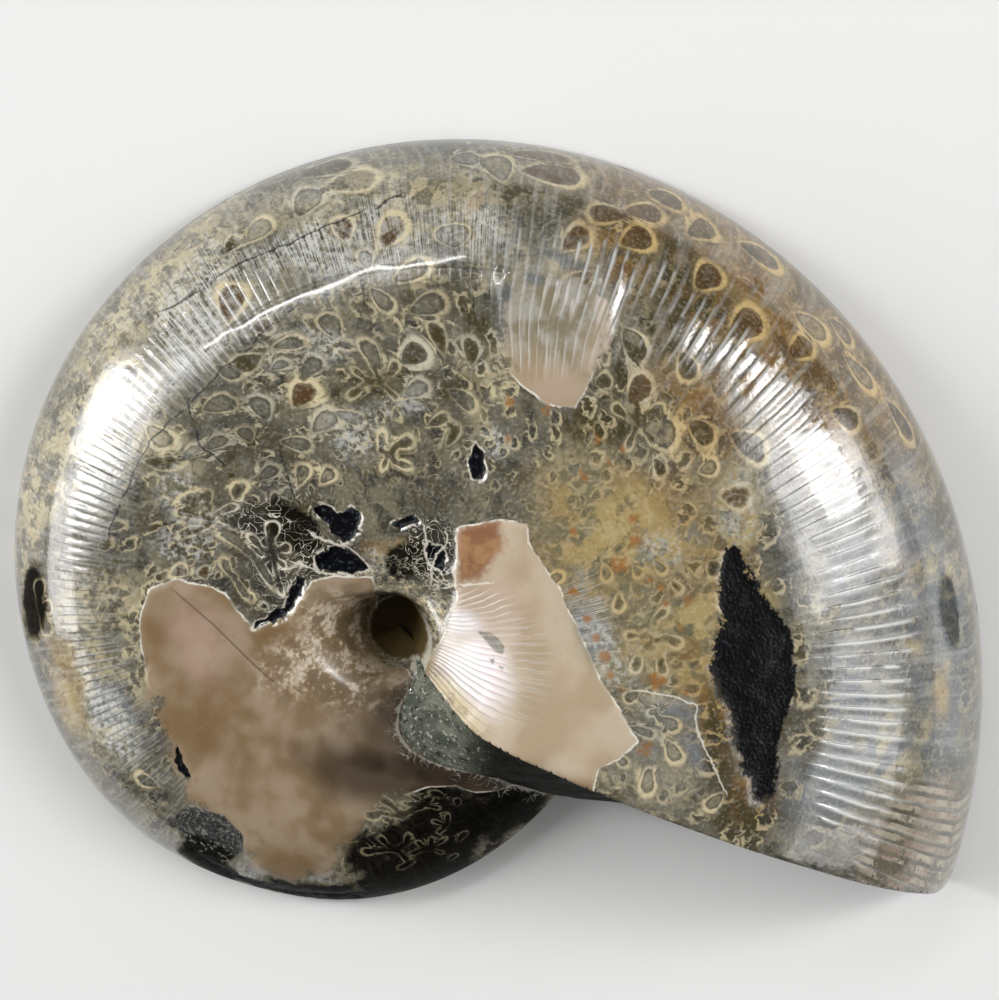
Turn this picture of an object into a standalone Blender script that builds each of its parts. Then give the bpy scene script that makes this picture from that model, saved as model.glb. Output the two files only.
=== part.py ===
# Half of a coiled ammonite, cut along its middle plane and lying on the cut face.
# Metres, +Z up. The coil axis is Z, the cut face is at Z = 0, and the coil opens towards +X.
# Angles run anticlockwise from +X: the shell grows clockwise, from the early whorl under the
# aperture's lip, round by -X and +Y, to the lip itself.
import math

import bmesh
import bpy

# ---- driving dimensions ----
MM = 0.001
LIP_RADIUS = 84.3 * MM        # coil axis to the outer edge, at the lip
HALF_THICKNESS = 28.0 * MM    # cut face to the top of the flank, at the lip
SHRINK = 0.145                # share of the radius lost for each radian back along the coil
START = math.radians(-27)     # where the coil meets the lip's outer corner
CREST = 0.42                  # fullest place of a whorl, as a share of its radius
HOLE_FLOOR = 4.5 * MM         # height of the bottom of the umbilicus
WALL_FOOT, WALL_TOP = 0.045, 0.09     # umbilical wall, as shares of the radius
FUNNEL_TOP = 0.24             # the same wall's top on the worn side
SAG, SAG_FROM = 0.16, 0.24    # how far the flank sinks towards the wall, and the share it sinks from
EDGE = 0.4 * MM               # eased edge round the cut face
RECESS = 1.6 * MM             # the stone fill lies this far behind the lip
LIP_WALL = 0.03               # the lip's own thickness, as a share of the fill's height
CORNER = 2.4 * MM             # rounding of the lip's outer corner
SHELL_STEP = 0.6 * MM         # height of the pearly shell over the bare stone
STEP_RUN = 2.2 * MM           # width over which that ledge rises

FRONT_COLUMNS = 136           # growth lines from the lip back round the coil
FILL_COLUMNS = (0.10, 0.22, 0.36, 0.50, 0.64, 0.78, 0.90)   # curves across the fill
SHOULDER_RINGS = 15           # rings from the crest to the outer edge
HOLE_RINGS = (0.025, 0.042, 0.052, 0.062, 0.075, 0.09, 0.11, 0.135, 0.16, 0.185, 0.21, 0.24,
              0.27, 0.30, 0.33, 0.375)

# Angle of the lip's line, and of the foot of the stone fillet under it, by distance from the axis.
LIP_LINE = ((0, -43.0), (6, -42.5), (12, -45.5), (16, -45.4), (20, -42.3), (28, -37.2),
            (42, -32.5), (60, -29.2), (76, -27.6), (84.3, -27.0))
FILLET_FOOT = ((0, -46), (4, -50), (7.5, -60), (10, -77), (13, -84), (16, -82), (18.6, -75),
               (21, -67), (23.6, -58.5), (27, -54), (34, -46.5))

# Outlines, as plan points in millimetres: where the pearly shell is left, and where the face is sunk.
PEARL_BY_HOLE = ((4.6, -5.6), (7.3, -9.2), (12.8, -13.4), (20, -17.6), (26.6, -19.4), (30.2, -14.8),
                 (32.9, -12.7), (27.9, -4.6), (22.7, 6.7), (18.6, 12.9), (18.3, 15.5), (9.1, 15.0),
                 (9.3, 12.5), (8.6, 8.8), (9.4, 5.3), (8.3, 2.0), (5.8, -2.3))
PEARL_LOWER = ((-27.9, 6.8), (-21.7, 5.1), (-17.7, 0.1), (-12.1, 3.5), (-10.1, 7.0), (-2.2, 7.1),
               (-1.6, 2.4), (-2.4, -2.5), (2.6, -6.6), (6, -12), (19, -22), (11.7, -23.3), (0.6, -23.5),
               (-5.2, -30.1), (-8, -34.6), (-13, -36.4), (-19.8, -31.4), (-27, -24.4), (-29.6, -16.1),
               (-32.6, -4.3), (-31.6, 5.4))
PEARL_TOP = ((14.4, 47.4), (15.2, 37.2), (18.7, 32.8), (24.6, 30.8), (29.5, 40.7), (31.4, 49.0), (17, 50.5))
PEARL = (PEARL_BY_HOLE, PEARL_LOWER, PEARL_TOP)
ROUGH_PATCH = ((44.3, 12.9), (47.6, 8.9), (52.9, 1.5), (53.6, -7.7), (51.0, -19.6), (47.9, -20.7),
               (45.6, -12.7), (42.1, -3.4), (43.4, 7.1))
CREVICES = (((-9.4, 16.8), (-4.3, 17.0), (-3.0, 15.0), (-6.3, 11.9), (-8.6, 14)),
            ((-9.4, 11.4), (-7.0, 11.9), (-2.6, 8.6), (-5.0, 7.8), (-9.2, 8.4)),
            ((11.5, 26.2), (10.6, 23.8), (12.2, 21.3), (13.2, 22.6)))
SUNK = (ROUGH_PATCH, *CREVICES)
SUNK_DEPTH = 0.5 * MM


def smooth(x):
    """0 to 1 with level ends."""
    x = min(1.0, max(0.0, x))
    return x * x * (3 - 2 * x)


def through(points, x):
    """Height at x of a smooth curve through the points, level beyond its ends."""
    if x <= points[0][0]:
        return points[0][1]
    if x >= points[-1][0]:
        return points[-1][1]
    i = next(i for i in range(1, len(points)) if x <= points[i][0])
    (x0, y0), (x1, y1) = points[i - 1], points[i]
    xa, ya = points[max(i - 2, 0)]
    xb, yb = points[min(i + 1, len(points) - 1)]
    run = x1 - x0
    slope0, slope1 = (y1 - ya) / (x1 - xa) * run, (yb - y0) / (xb - x0) * run
    t = (x - x0) / run
    return (y0 * (1 + 2 * t) * (1 - t) ** 2 + slope0 * t * (1 - t) ** 2
            + y1 * t * t * (3 - 2 * t) - slope1 * t * t * (1 - t))


def lip_angle(radius):
    """Angle of the lip's line; its outer corner is rounded back."""
    corner = max(0.0, 1 - (LIP_RADIUS - radius) / CORNER)
    return math.radians(through(LIP_LINE, radius / MM)) + CORNER / LIP_RADIUS * corner ** 2


def fillet_angle(radius):
    return math.radians(through(FILLET_FOOT, radius / MM))


def coil_radius(angle):
    """Coil axis to outer edge. The edge is a little full at the lower left and worn at its start."""
    turned = math.degrees(angle)
    full = 0.8 * MM * math.exp(-((turned - 217) / 20) ** 2)
    worn = 1.8 * MM * smooth((turned - 255) / 55)
    return LIP_RADIUS * math.exp(-SHRINK * (angle - START)) + full - worn


def half_thickness(angle):
    return HALF_THICKNESS * math.exp(-SHRINK * (angle - START))


def flank_height(share, thickness, wall_top):
    """Height of a whorl's section at a share of its radius: a low dome with a steep inner wall."""
    if share > CREST:
        return thickness * math.sqrt(max(0.0, 1 - ((share - CREST) / (1 - CREST)) ** 2.2))
    sag = SAG * max(0.0, (SAG_FROM - share) / 0.15) ** 1.3
    crown = thickness * (1 - 0.10 * ((CREST - share) / CREST) ** 2 - sag)
    wall = smooth(0.5 + 0.5 * (share - WALL_FOOT) / (wall_top - WALL_FOOT)) * 2 - 1
    return HOLE_FLOOR + (crown - HOLE_FLOOR) * max(0.0, wall)


def wall_top(angle):
    """The umbilical wall is sharp under the lip and wears to a funnel on the far side."""
    return WALL_TOP + (FUNNEL_TOP - WALL_TOP) * smooth((math.degrees(angle) - 90) / 110)


def depth_inside(outline, x, y):
    """How far a plan point lies inside a closed outline; negative outside it."""
    nearest, inside = 1e9, False
    for (ax, ay), (bx, by) in zip(outline, outline[1:] + outline[:1]):
        along = ((x - ax) * (bx - ax) + (y - ay) * (by - ay)) / ((bx - ax) ** 2 + (by - ay) ** 2)
        along = min(1.0, max(0.0, along))
        nearest = min(nearest, math.hypot(x - ax - along * (bx - ax), y - ay - along * (by - ay)))
        if (ay > y) != (by > y) and x < ax + (y - ay) / (by - ay) * (bx - ax):
            inside = not inside
    return nearest if inside else -nearest


def relief(x, y):
    """Height over the smooth flank at a plan point: the pearly shell stands up and the pits go down."""
    shell = max(depth_inside(outline, x / MM, y / MM) for outline in PEARL) * MM
    pit = max(depth_inside(outline, x / MM, y / MM) for outline in SUNK) * MM
    return SHELL_STEP * smooth(0.5 + shell / STEP_RUN) - SUNK_DEPTH * smooth(0.5 + pit / STEP_RUN)


def ring_shares():
    """Shares of the radius, from the hole outwards, close together where the section turns down."""
    shoulder = (math.radians(90 * i / SHOULDER_RINGS) for i in range(SHOULDER_RINGS + 1))
    return list(HOLE_RINGS) + [CREST + (1 - CREST) * math.sin(a) ** (2 / 2.2) for a in shoulder]


def front_point(share, step):
    """A point of the shell: step 0 is on the lip, and step 1 at the foot of the stone fillet."""
    worn_radius = coil_radius(2 * math.pi + fillet_angle(34 * MM))
    first = lip_angle(share * LIP_RADIUS)
    last = 2 * math.pi + fillet_angle(share * worn_radius)
    angle = first + (last - first) * step
    along = START + (2 * math.pi + fillet_angle(34 * MM) - START) * step
    radius = share * coil_radius(along)
    x, y = radius * math.cos(angle), radius * math.sin(angle)
    height = flank_height(share, half_thickness(along), wall_top(angle))
    rise = relief(x, y) * smooth(height / (4 * MM) - 1)
    return x, y, max(EDGE, height + rise)


def fill_point(share, level, recess):
    """A point of the stone fill between the early whorl, level 0, and the lip, level 1."""
    foot = 2 * math.pi + fillet_angle(34 * MM)
    low_radius, low_thickness = coil_radius(foot), half_thickness(foot)
    radius = share * (low_radius + (LIP_RADIUS - low_radius) * level)
    thickness = low_thickness + (HALF_THICKNESS - low_thickness) * level
    start = share * low_radius
    angle = lip_angle(radius) + (fillet_angle(start) - lip_angle(start)) * (1 - level) ** 3
    angle += recess / max(radius, 12 * MM) * smooth((radius - 16 * MM) / (18 * MM)) * smooth(level * 3)
    height = flank_height(share, thickness, WALL_TOP + (FUNNEL_TOP - WALL_TOP) * (1 - level))
    return radius * math.cos(angle), radius * math.sin(angle), max(EDGE, height)


def stone(name, colour, roughness):
    material = bpy.data.materials.new(name)
    material.use_nodes = True
    shader = material.node_tree.nodes["Principled BSDF"]
    shader.inputs["Base Color"].default_value = (*colour, 1)
    shader.inputs["Roughness"].default_value = roughness
    shader.inputs["Metallic"].default_value = 0
    return material


def ammonite_half():
    """One closed skin: growth-line columns round the coil, then columns across the fill."""
    shares = ring_shares()
    columns = [[front_point(share, i / FRONT_COLUMNS) for share in shares]
               for i in range(FRONT_COLUMNS + 1)]
    columns += [[fill_point(share, level, RECESS) for share in shares] for level in FILL_COLUMNS]
    columns += [[fill_point(share, 1 - LIP_WALL - 0.008, RECESS) for share in shares]]
    columns += [[fill_point(share, 1 - LIP_WALL, 0) for share in shares]]

    body = bmesh.new()
    grid = [[body.verts.new(point) for point in column] for column in columns]
    centre = body.verts.new((0, 0, HOLE_FLOOR))
    for left, right in zip(grid, grid[1:] + grid[:1]):
        body.faces.new((centre, left[0], right[0]))
        for ring in range(len(shares) - 1):
            body.faces.new((left[ring], left[ring + 1], right[ring + 1], right[ring]))
    cut_face = body.faces.new([column[-1] for column in reversed(grid)])
    body.normal_update()
    bmesh.ops.inset_individual(body, faces=[cut_face], thickness=EDGE, depth=EDGE)
    bmesh.ops.poke(body, faces=[cut_face])
    bmesh.ops.recalc_face_normals(body, faces=body.faces)

    mesh = bpy.data.meshes.new("ammonite_half")
    body.to_mesh(mesh)
    body.free()
    mesh.shade_smooth()
    mesh.set_sharp_from_angle(angle=math.radians(40))
    half = bpy.data.objects.new("ammonite_half", mesh)
    bpy.context.collection.objects.link(half)
    half.data.materials.append(stone("fossil", (0.42, 0.38, 0.29), 0.22))


for old in list(bpy.data.objects):
    bpy.data.objects.remove(old, do_unlink=True)
ammonite_half()
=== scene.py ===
import math
import random
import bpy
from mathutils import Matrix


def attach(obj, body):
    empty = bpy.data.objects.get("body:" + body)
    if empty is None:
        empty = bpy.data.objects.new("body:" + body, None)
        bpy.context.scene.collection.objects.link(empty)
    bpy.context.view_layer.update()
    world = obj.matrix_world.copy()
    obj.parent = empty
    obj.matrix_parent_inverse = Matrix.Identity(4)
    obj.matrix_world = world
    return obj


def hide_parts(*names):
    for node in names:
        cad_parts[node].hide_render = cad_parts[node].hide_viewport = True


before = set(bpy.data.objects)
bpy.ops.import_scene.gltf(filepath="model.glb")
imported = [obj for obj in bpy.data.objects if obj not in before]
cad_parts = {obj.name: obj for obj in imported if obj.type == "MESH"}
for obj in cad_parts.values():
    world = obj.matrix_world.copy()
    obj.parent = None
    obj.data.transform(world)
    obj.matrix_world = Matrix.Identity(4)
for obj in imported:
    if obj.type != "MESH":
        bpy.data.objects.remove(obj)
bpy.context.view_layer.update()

from types import SimpleNamespace

import bpy
import numpy as np
from mathutils import Matrix, Vector, noise

# Half of a polished ammonite, lying on its sawn face. Lengths are millimetres until the mesh is written.
# Angles run anticlockwise from +X. The shell grew clockwise, so a place back along the coil has a
# larger angle.

mm = 0.001
fullTurn = 2 * math.pi

coil = {
    "lipRadius": 84.3,          # coil axis to the outer edge, at the lip
    "halfThickness": 28.0,      # sawn face to the top of the flank, at the lip
    "shrink": 0.145,            # share of the radius lost for each radian back along the coil
    "start": math.radians(-27),
    "crest": 0.42,              # fullest place of a whorl, as a share of its radius
    "holeFloor": 4.5,
    "wallFoot": 0.045, "wallTop": 0.09, "funnelTop": 0.24,
    "sag": 0.16, "sagFrom": 0.24,   # how far the flank sinks towards the hole, and from where
    "edge": 0.4,                # eased edge round the sawn face
    "recess": 1.6,              # the stone fill lies this far behind the lip
    "lipWall": 0.03,
    "corner": 2.4,              # rounding of the lip's outer corner
    "lipLine": ((0, -43.0), (6, -42.5), (12, -45.5), (16, -45.4), (20, -42.3), (28, -37.2),
                (42, -32.5), (60, -29.2), (76, -27.6), (84.3, -27.0)),
    "filletFoot": ((0, -46), (4, -50), (7.5, -60), (10, -77), (13, -84), (16, -82), (18.6, -75),
                   (21, -67), (23.6, -58.5), (27, -54), (34, -46.5)),
    "filletEnd": 34,            # the early whorl's edge, where the fillet runs out
}

grid = {
    "frontColumns": 590,
    "fillColumns": 40,
    "holeRings": 14,
    "flankRings": 54,
    "shoulderRings": 80,
    "faceRings": 2,
}


def smooth(x):
    x = np.clip(x, 0.0, 1.0)
    return x * x * (3 - 2 * x)


def through(points, x):   # a smooth curve through the points, level beyond its ends
    xs, ys = np.array(points, float).T
    slope = np.empty_like(ys)
    slope[1:-1] = (ys[2:] - ys[:-2]) / (xs[2:] - xs[:-2])
    slope[0] = (ys[1] - ys[0]) / (xs[1] - xs[0])
    slope[-1] = (ys[-1] - ys[-2]) / (xs[-1] - xs[-2])
    x = np.clip(x, xs[0], xs[-1])
    i = np.clip(np.searchsorted(xs, x, side="right") - 1, 0, len(xs) - 2)
    run = xs[i + 1] - xs[i]
    t = (x - xs[i]) / run
    rise = slope[i] * run * t * (1 - t) ** 2 - slope[i + 1] * run * t * t * (1 - t)
    return ys[i] * (1 + 2 * t) * (1 - t) ** 2 + ys[i + 1] * t * t * (3 - 2 * t) + rise


def lipAngle(radius):
    corner = np.maximum(0.0, 1 - (coil["lipRadius"] - radius) / coil["corner"])
    return np.radians(through(coil["lipLine"], radius)) + coil["corner"] / coil["lipRadius"] * corner ** 2


def filletAngle(radius):
    return np.radians(through(coil["filletFoot"], radius))


def coilRadius(angle):
    turned = np.degrees(angle)
    full = 0.8 * np.exp(-((turned - 217) / 20) ** 2)
    worn = 1.8 * smooth((turned - 255) / 55)
    return coil["lipRadius"] * np.exp(-coil["shrink"] * (angle - coil["start"])) + full - worn


def halfThickness(angle):
    return coil["halfThickness"] * np.exp(-coil["shrink"] * (angle - coil["start"]))


def wallTop(angle):
    worn = smooth((np.degrees(angle) - 90) / 110)
    return coil["wallTop"] + (coil["funnelTop"] - coil["wallTop"]) * worn


def flankHeight(share, thickness, top):
    crest = coil["crest"]
    out = np.clip((share - crest) / (1 - crest), 0, 1)
    dome = thickness * np.sqrt(np.clip(1 - out ** 2.2, 0, 1))
    sag = coil["sag"] * np.maximum(0, (coil["sagFrom"] - share) / 0.15) ** 1.3
    crown = thickness * (1 - 0.10 * ((crest - share) / crest) ** 2 - sag)
    wall = smooth(0.5 + 0.5 * (share - coil["wallFoot"]) / (top - coil["wallFoot"])) * 2 - 1
    inner = coil["holeFloor"] + (crown - coil["holeFloor"]) * np.maximum(0.0, wall)
    return np.where(share > crest, dome, inner)


def ringShares():   # from the hole to the outer edge, close together where the section turns down
    crest, top = coil["crest"], coil["wallTop"] + 0.01
    hole = np.linspace(0.012, top, grid["holeRings"])
    flank = np.linspace(top, crest, grid["flankRings"] + 1)[1:]
    turn = np.radians(np.linspace(0, 90, grid["shoulderRings"] + 1))[1:]
    return np.concatenate([hole, flank, crest + (1 - crest) * np.sin(turn) ** (2 / 2.2)])


foot = fullTurn + float(filletAngle(coil["filletEnd"]))   # where the early whorl goes under the lip
shares = ringShares()
steps = np.linspace(0, 1, grid["frontColumns"])
along = coil["start"] + (foot - coil["start"]) * steps


def frontGrid():   # columns are growth lines, from the lip back round the coil to the fillet's foot
    share, step, place = shares[None, :], steps[:, None], along[:, None]
    first = lipAngle(share * coil["lipRadius"])
    last = fullTurn + filletAngle(share * coilRadius(foot))
    angle = first + (last - first) * step
    radius = share * coilRadius(place)
    height = flankHeight(share, halfThickness(place), wallTop(angle))
    return np.stack([radius * np.cos(angle), radius * np.sin(angle), np.maximum(coil["edge"], height)], -1)


def fillGrid():   # curves across the stone fill, from the early whorl up to the lip's inner edge
    rim = 1 - coil["lipWall"]
    level = np.concatenate([np.linspace(0, rim - 0.004, grid["fillColumns"] - 2)[1:],
                            [rim, rim + 0.006, 0.995]])
    depth = np.concatenate([np.full(grid["fillColumns"] - 3, coil["recess"]), [0.5, 0.15, 0.0]])
    level, depth, share = level[:, None], depth[:, None], shares[None, :]
    low, lowThickness = coilRadius(foot), halfThickness(foot)
    radius = share * (low + (coil["lipRadius"] - low) * level)
    thickness = lowThickness + (coil["halfThickness"] - lowThickness) * level
    begin = share * low
    angle = lipAngle(radius) + (filletAngle(begin) - lipAngle(begin)) * (1 - level) ** 3
    top = coil["wallTop"] + (coil["funnelTop"] - coil["wallTop"]) * (1 - level)
    height = flankHeight(share, thickness, top)
    depth = depth * smooth((height - coil["edge"]) / 1.6)    # flush with the lip at the sawn face
    angle = angle + depth / np.maximum(radius, 12) * smooth((radius - 16) / 18) * smooth(level * 3)
    return np.stack([radius * np.cos(angle), radius * np.sin(angle), np.maximum(coil["edge"], height)], -1)


def normalsOf(points):
    across = np.roll(points, -1, 0) - np.roll(points, 1, 0)
    outward = np.gradient(points, axis=1)
    normal = np.cross(outward, across)
    return normal / np.maximum(np.linalg.norm(normal, axis=2, keepdims=True), 1e-9)


skin = np.concatenate([frontGrid(), fillGrid()])
columns, rings = skin.shape[:2]
frontCount = grid["frontColumns"]
front = skin[:frontCount].copy()
x, y, z = front[..., 0], front[..., 1], front[..., 2]
print("ammonite: grid of", columns, "columns and", rings, "rings")

# distances and noise over the shell
coilR = coilRadius(along)       # outer radius at each column
section = np.stack([shares * coil["lipRadius"], flankHeight(shares, coil["halfThickness"], 0.1)], -1)
arc = np.concatenate([[0], np.cumsum(np.linalg.norm(np.diff(section, axis=0), axis=1))]) / coil["lipRadius"]


def gapTo(ax, ay, bx, by, x, y):   # distance to the straight line between two points
    t = np.clip(((x - ax) * (bx - ax) + (y - ay) * (by - ay)) / ((bx - ax) ** 2 + (by - ay) ** 2), 0, 1)
    return np.hypot(x - ax - t * (bx - ax), y - ay - t * (by - ay))


def depthInside(outline, x, y):   # distance to a closed outline, positive inside it
    nearest, inside = np.full(x.shape, 1e9), np.zeros(x.shape, bool)
    for (ax, ay), (bx, by) in zip(outline, outline[1:] + outline[:1]):
        nearest = np.minimum(nearest, gapTo(ax, ay, bx, by, x, y))
        crosses = ((ay > y) != (by > y)) & (x < ax + (y - ay) / (by - ay + 1e-12) * (bx - ax))
        inside ^= crosses
    return np.where(inside, nearest, -nearest)


def sideOfLines(lines, x, y):   # distance to the nearest line, negative on one side of it
    nearest, side = np.full(x.shape, 1e9), np.ones(x.shape)
    for points in lines:
        for (ax, ay), (bx, by) in zip(points, points[1:]):
            gap = gapTo(ax, ay, bx, by, x, y)
            turned = np.sign((x - ax) * (by - ay) - (y - ay) * (bx - ax))
            side = np.where(gap < nearest, turned, side)
            nearest = np.minimum(nearest, gap)
    return np.clip(nearest * side, -9, 9)


def cloud(points, size, seed, depth=4):   # fractal noise, about -1 to 1
    shift = Vector((seed * 7.13, seed * 3.71, seed * 5.37))
    flat = points.reshape(-1, 3) / size
    values = [noise.fractal(Vector(p) + shift, 1.0, 2.0, depth) for p in flat.tolist()]
    return np.array(values).reshape(points.shape[:-1])


ragged = cloud(front, 3.0, 3)       # roughens the edges of patches
drift = cloud(front, 9.0, 4, 3)     # roughens the edges of stain patches and of painted shade
swell = cloud(front, 14.0, 8, 3)

# patches of pearly shell that are left on the stone, in plan millimetres
pearl = {
    "byHole": ((4.6, -5.6), (7.3, -9.2), (12.8, -13.4), (20, -17.6), (26.6, -19.4), (27.8, -16.4),
               (30.2, -14.8), (32.9, -12.7), (30.5, -8.5), (27.9, -4.6), (24.6, 3.1), (22.7, 6.7),
               (20.3, 10.2), (18.6, 12.9), (18.3, 15.5), (15.2, 16.0), (12.2, 15.4), (9.1, 15.0), (9.3, 12.5),
               (8.6, 8.8), (9.4, 5.3), (9.0, 4.0), (8.3, 2.0), (7.4, 0.1), (5.8, -2.3)),
    "lower": ((-27.9, 6.8), (-23.2, 6.0), (-21.7, 5.1), (-17.7, 0.1), (-13.7, 1.9), (-12.1, 3.5),
              (-10.1, 7.0), (-5.7, 7.5), (-2.2, 7.1), (-1.6, 2.4), (-2.4, -2.5), (-0.6, -5.5), (2.6, -6.6),
              (6, -12), (19, -22), (15.4, -22.6), (11.7, -23.3), (8.8, -22.2), (4.9, -22.1), (0.6, -23.5),
              (-2.3, -25.8), (-5.2, -30.1), (-8, -34.6), (-13, -36.4), (-18, -34), (-19.8, -31.4),
              (-20.6, -28.6), (-24, -26.2), (-27, -24.4), (-27.6, -21.4), (-28.6, -19.2), (-29.6, -16.1),
              (-31.1, -9.8), (-32.6, -4.3), (-32.9, 1.2), (-31.6, 5.4)),
    "top": ((14.4, 47.4), (14.8, 42.1), (15.2, 37.2), (16.4, 35), (18.7, 32.8), (20.7, 31.4), (24.6, 30.8),
            (26.6, 34.4), (29.5, 40.7), (30.8, 45.7), (31.4, 49.0), (24, 51.5), (17, 50.5)),
    "scrap": ((10.2, 55.3), (13.1, 55.6), (12.9, 57.8), (10.4, 57.6)),
    "step": 0.28,               # height over the bare stone
    "run": 1.4,                 # width of the ledge
}
orange = ((8.9, 15.2), (11.6, 15.9), (15.0, 16.2), (14.9, 13.4), (13.4, 10.2), (12.4, 8.2), (9.8, 7.4),
          (9.2, 9.4), (9.4, 12.6))

darkPatch = ((44.3, 12.9), (46.2, 12.2), (47.6, 8.9), (50.2, 5.6), (52.9, 1.5), (53.8, -2.4), (53.6, -7.7),
             (51.6, -12.9), (51.0, -19.6), (50.3, -21.5), (47.9, -20.7), (47.0, -16.7), (45.6, -12.7),
             (43.7, -7.3), (42.1, -3.4), (42.6, -0.8), (43.9, 3.1), (43.4, 7.1))

hollows = {                     # small black crevices round the hole
    "outlines": (
        ((-9.8, 16.9), (-8.0, 17.2), (-6.6, 16.2), (-4.8, 17.0), (-3.2, 16.0), (-3.9, 13.6), (-5.9, 12.2),
         (-7.6, 14)),
        ((-9.6, 10.2), (-7.0, 11.9), (-4.6, 10.6), (-2.6, 8.4), (-5.0, 7.8), (-9.4, 8.2)),
        ((4.9, 12.6), (6.9, 12.1), (7.6, 10.4), (7.2, 8.6), (5.4, 9.3)),
        ((11.6, 26.2), (10.7, 24.2), (11.2, 21.6), (12.6, 21.2), (13.1, 22.6), (12.4, 25.0)),
        ((-12.0, 4.2), (-10.9, 7.2), (-12.0, 7.4), (-13.9, 3.2), (-17.6, 1.1), (-17.8, 0.2), (-13.4, 1.9)),
        ((-28.6, -16.1), (-28.0, -19.4), (-26.7, -21.4), (-26.3, -20.6), (-27.4, -17.6), (-28.2, -15.8)),
        ((-27, -31.6), (-24.0, -33.6), (-20.6, -35.6), (-15.6, -37.4), (-10.1, -38.2), (-4, -38.4),
         (-4, -39.3), (-10.4, -39.4), (-16.0, -38.9), (-21.2, -36.9), (-25, -34.4)),
        ((0.5, 15.2), (3.4, 16.2), (4.0, 15.4), (1.6, 14.4)),
    ),
    "depth": 0.45,
}

crystals = ((-29.8, -26.9), (-26.0, -24.9), (-22.0, -26.0), (-19.6, -28.9), (-19.4, -31.3), (-22.2, -33.5),
            (-26.3, -31.9))     # a rough patch of small crystals

chips = (                       # places where the shell has flaked off
    ((11.9, 1.2), (13.6, 1.1), (14.7, 0.4), (15.5, -0.7), (15.2, -1.6), (14.2, -1.3), (13.2, -0.2)),
    ((13.4, -2.3), (14.2, -2.3), (14.0, -3.1)),
    ((14.6, -3.1), (15.4, -3.2), (15.1, -3.9)),
)

cracks = (
    ((-10.1, 44.3), (-12.8, 42.7), (-21.4, 35.7), (-28.0, 28.3), (-31.4, 25.5), (-35.5, 17.3), (-37.5, 11.9)),
    ((-26.7, 30.9), (-24.7, 25.7), (-21.4, 21.8)),
    ((-15.7, 28.0), (-12.9, 20.6), (-10.9, 15.9)),
    ((-30.1, 42.0), (-20.1, 48.0), (-11.5, 51.7), (-1.0, 56.6), (1.9, 57.6)),
)
paleSeams = (
    ((33.1, -5.9), (40.4, -7.9), (41.0, -12.6), (44.4, -19.3)),
    ((9.8, 7.0), (11.4, 7.2), (13.4, 7.9)), ((9.1, 12.3), (9.0, 9.3), (8.6, 6.9), (7.1, 6.3)),
    ((7.6, 14.0), (7.6, 12.8), (6.6, 11.0), (6.0, 9.2)), ((4.8, 14.9), (5.1, 11.0), (5.7, 9.3), (5.2, 7.4)),
    ((-10.2, 13.8), (-7.4, 12.9), (-5.2, 11.6), (-3.2, 9.4), (-1.8, 8.2)),
    ((-13.6, 8.4), (-11.4, 9.0), (-8.6, 7.6), (-5, 7.4)), ((-12.6, 9.8), (-10.6, 8.8)),
)
specks = (                      # rust-brown spots: plan place and radius
    (35.1, -4.8, 0.9), (38.9, -6.4, 0.55), (39.4, 5.9, 0.6), (36.0, 7.5, 0.45), (34.7, 8.6, 0.35),
    (36.4, 5.4, 0.5), (38.4, 2.2, 0.4), (29.3, -4.0, 0.7), (30.7, -5.8, 0.5), (30.1, 10.5, 0.9),
    (33.9, -13.5, 0.8), (15.7, 26.5, 0.6), (27.6, 26.7, 0.4), (30.8, 25.4, 0.5), (25.7, 22.1, 0.6),
    (24.4, 14.5, 0.5), (29.3, 23.8, 0.3), (30.8, 10.4, 0.7), (32.5, 13.6, 0.9), (16.1, 31.5, 0.5),
    (20.8, 30.5, 0.5), (32.2, 16.6, 0.5), (24.6, 6.6, 0.6), (26.2, 3.4, 0.5), (27.3, 0.8, 0.5),
    (28.4, -1.6, 0.6))
darkSeams = (((-28.0, 5.2), (-23.0, 0.7), (-17.7, -4.9), (-15.1, -7.3)),)
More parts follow.
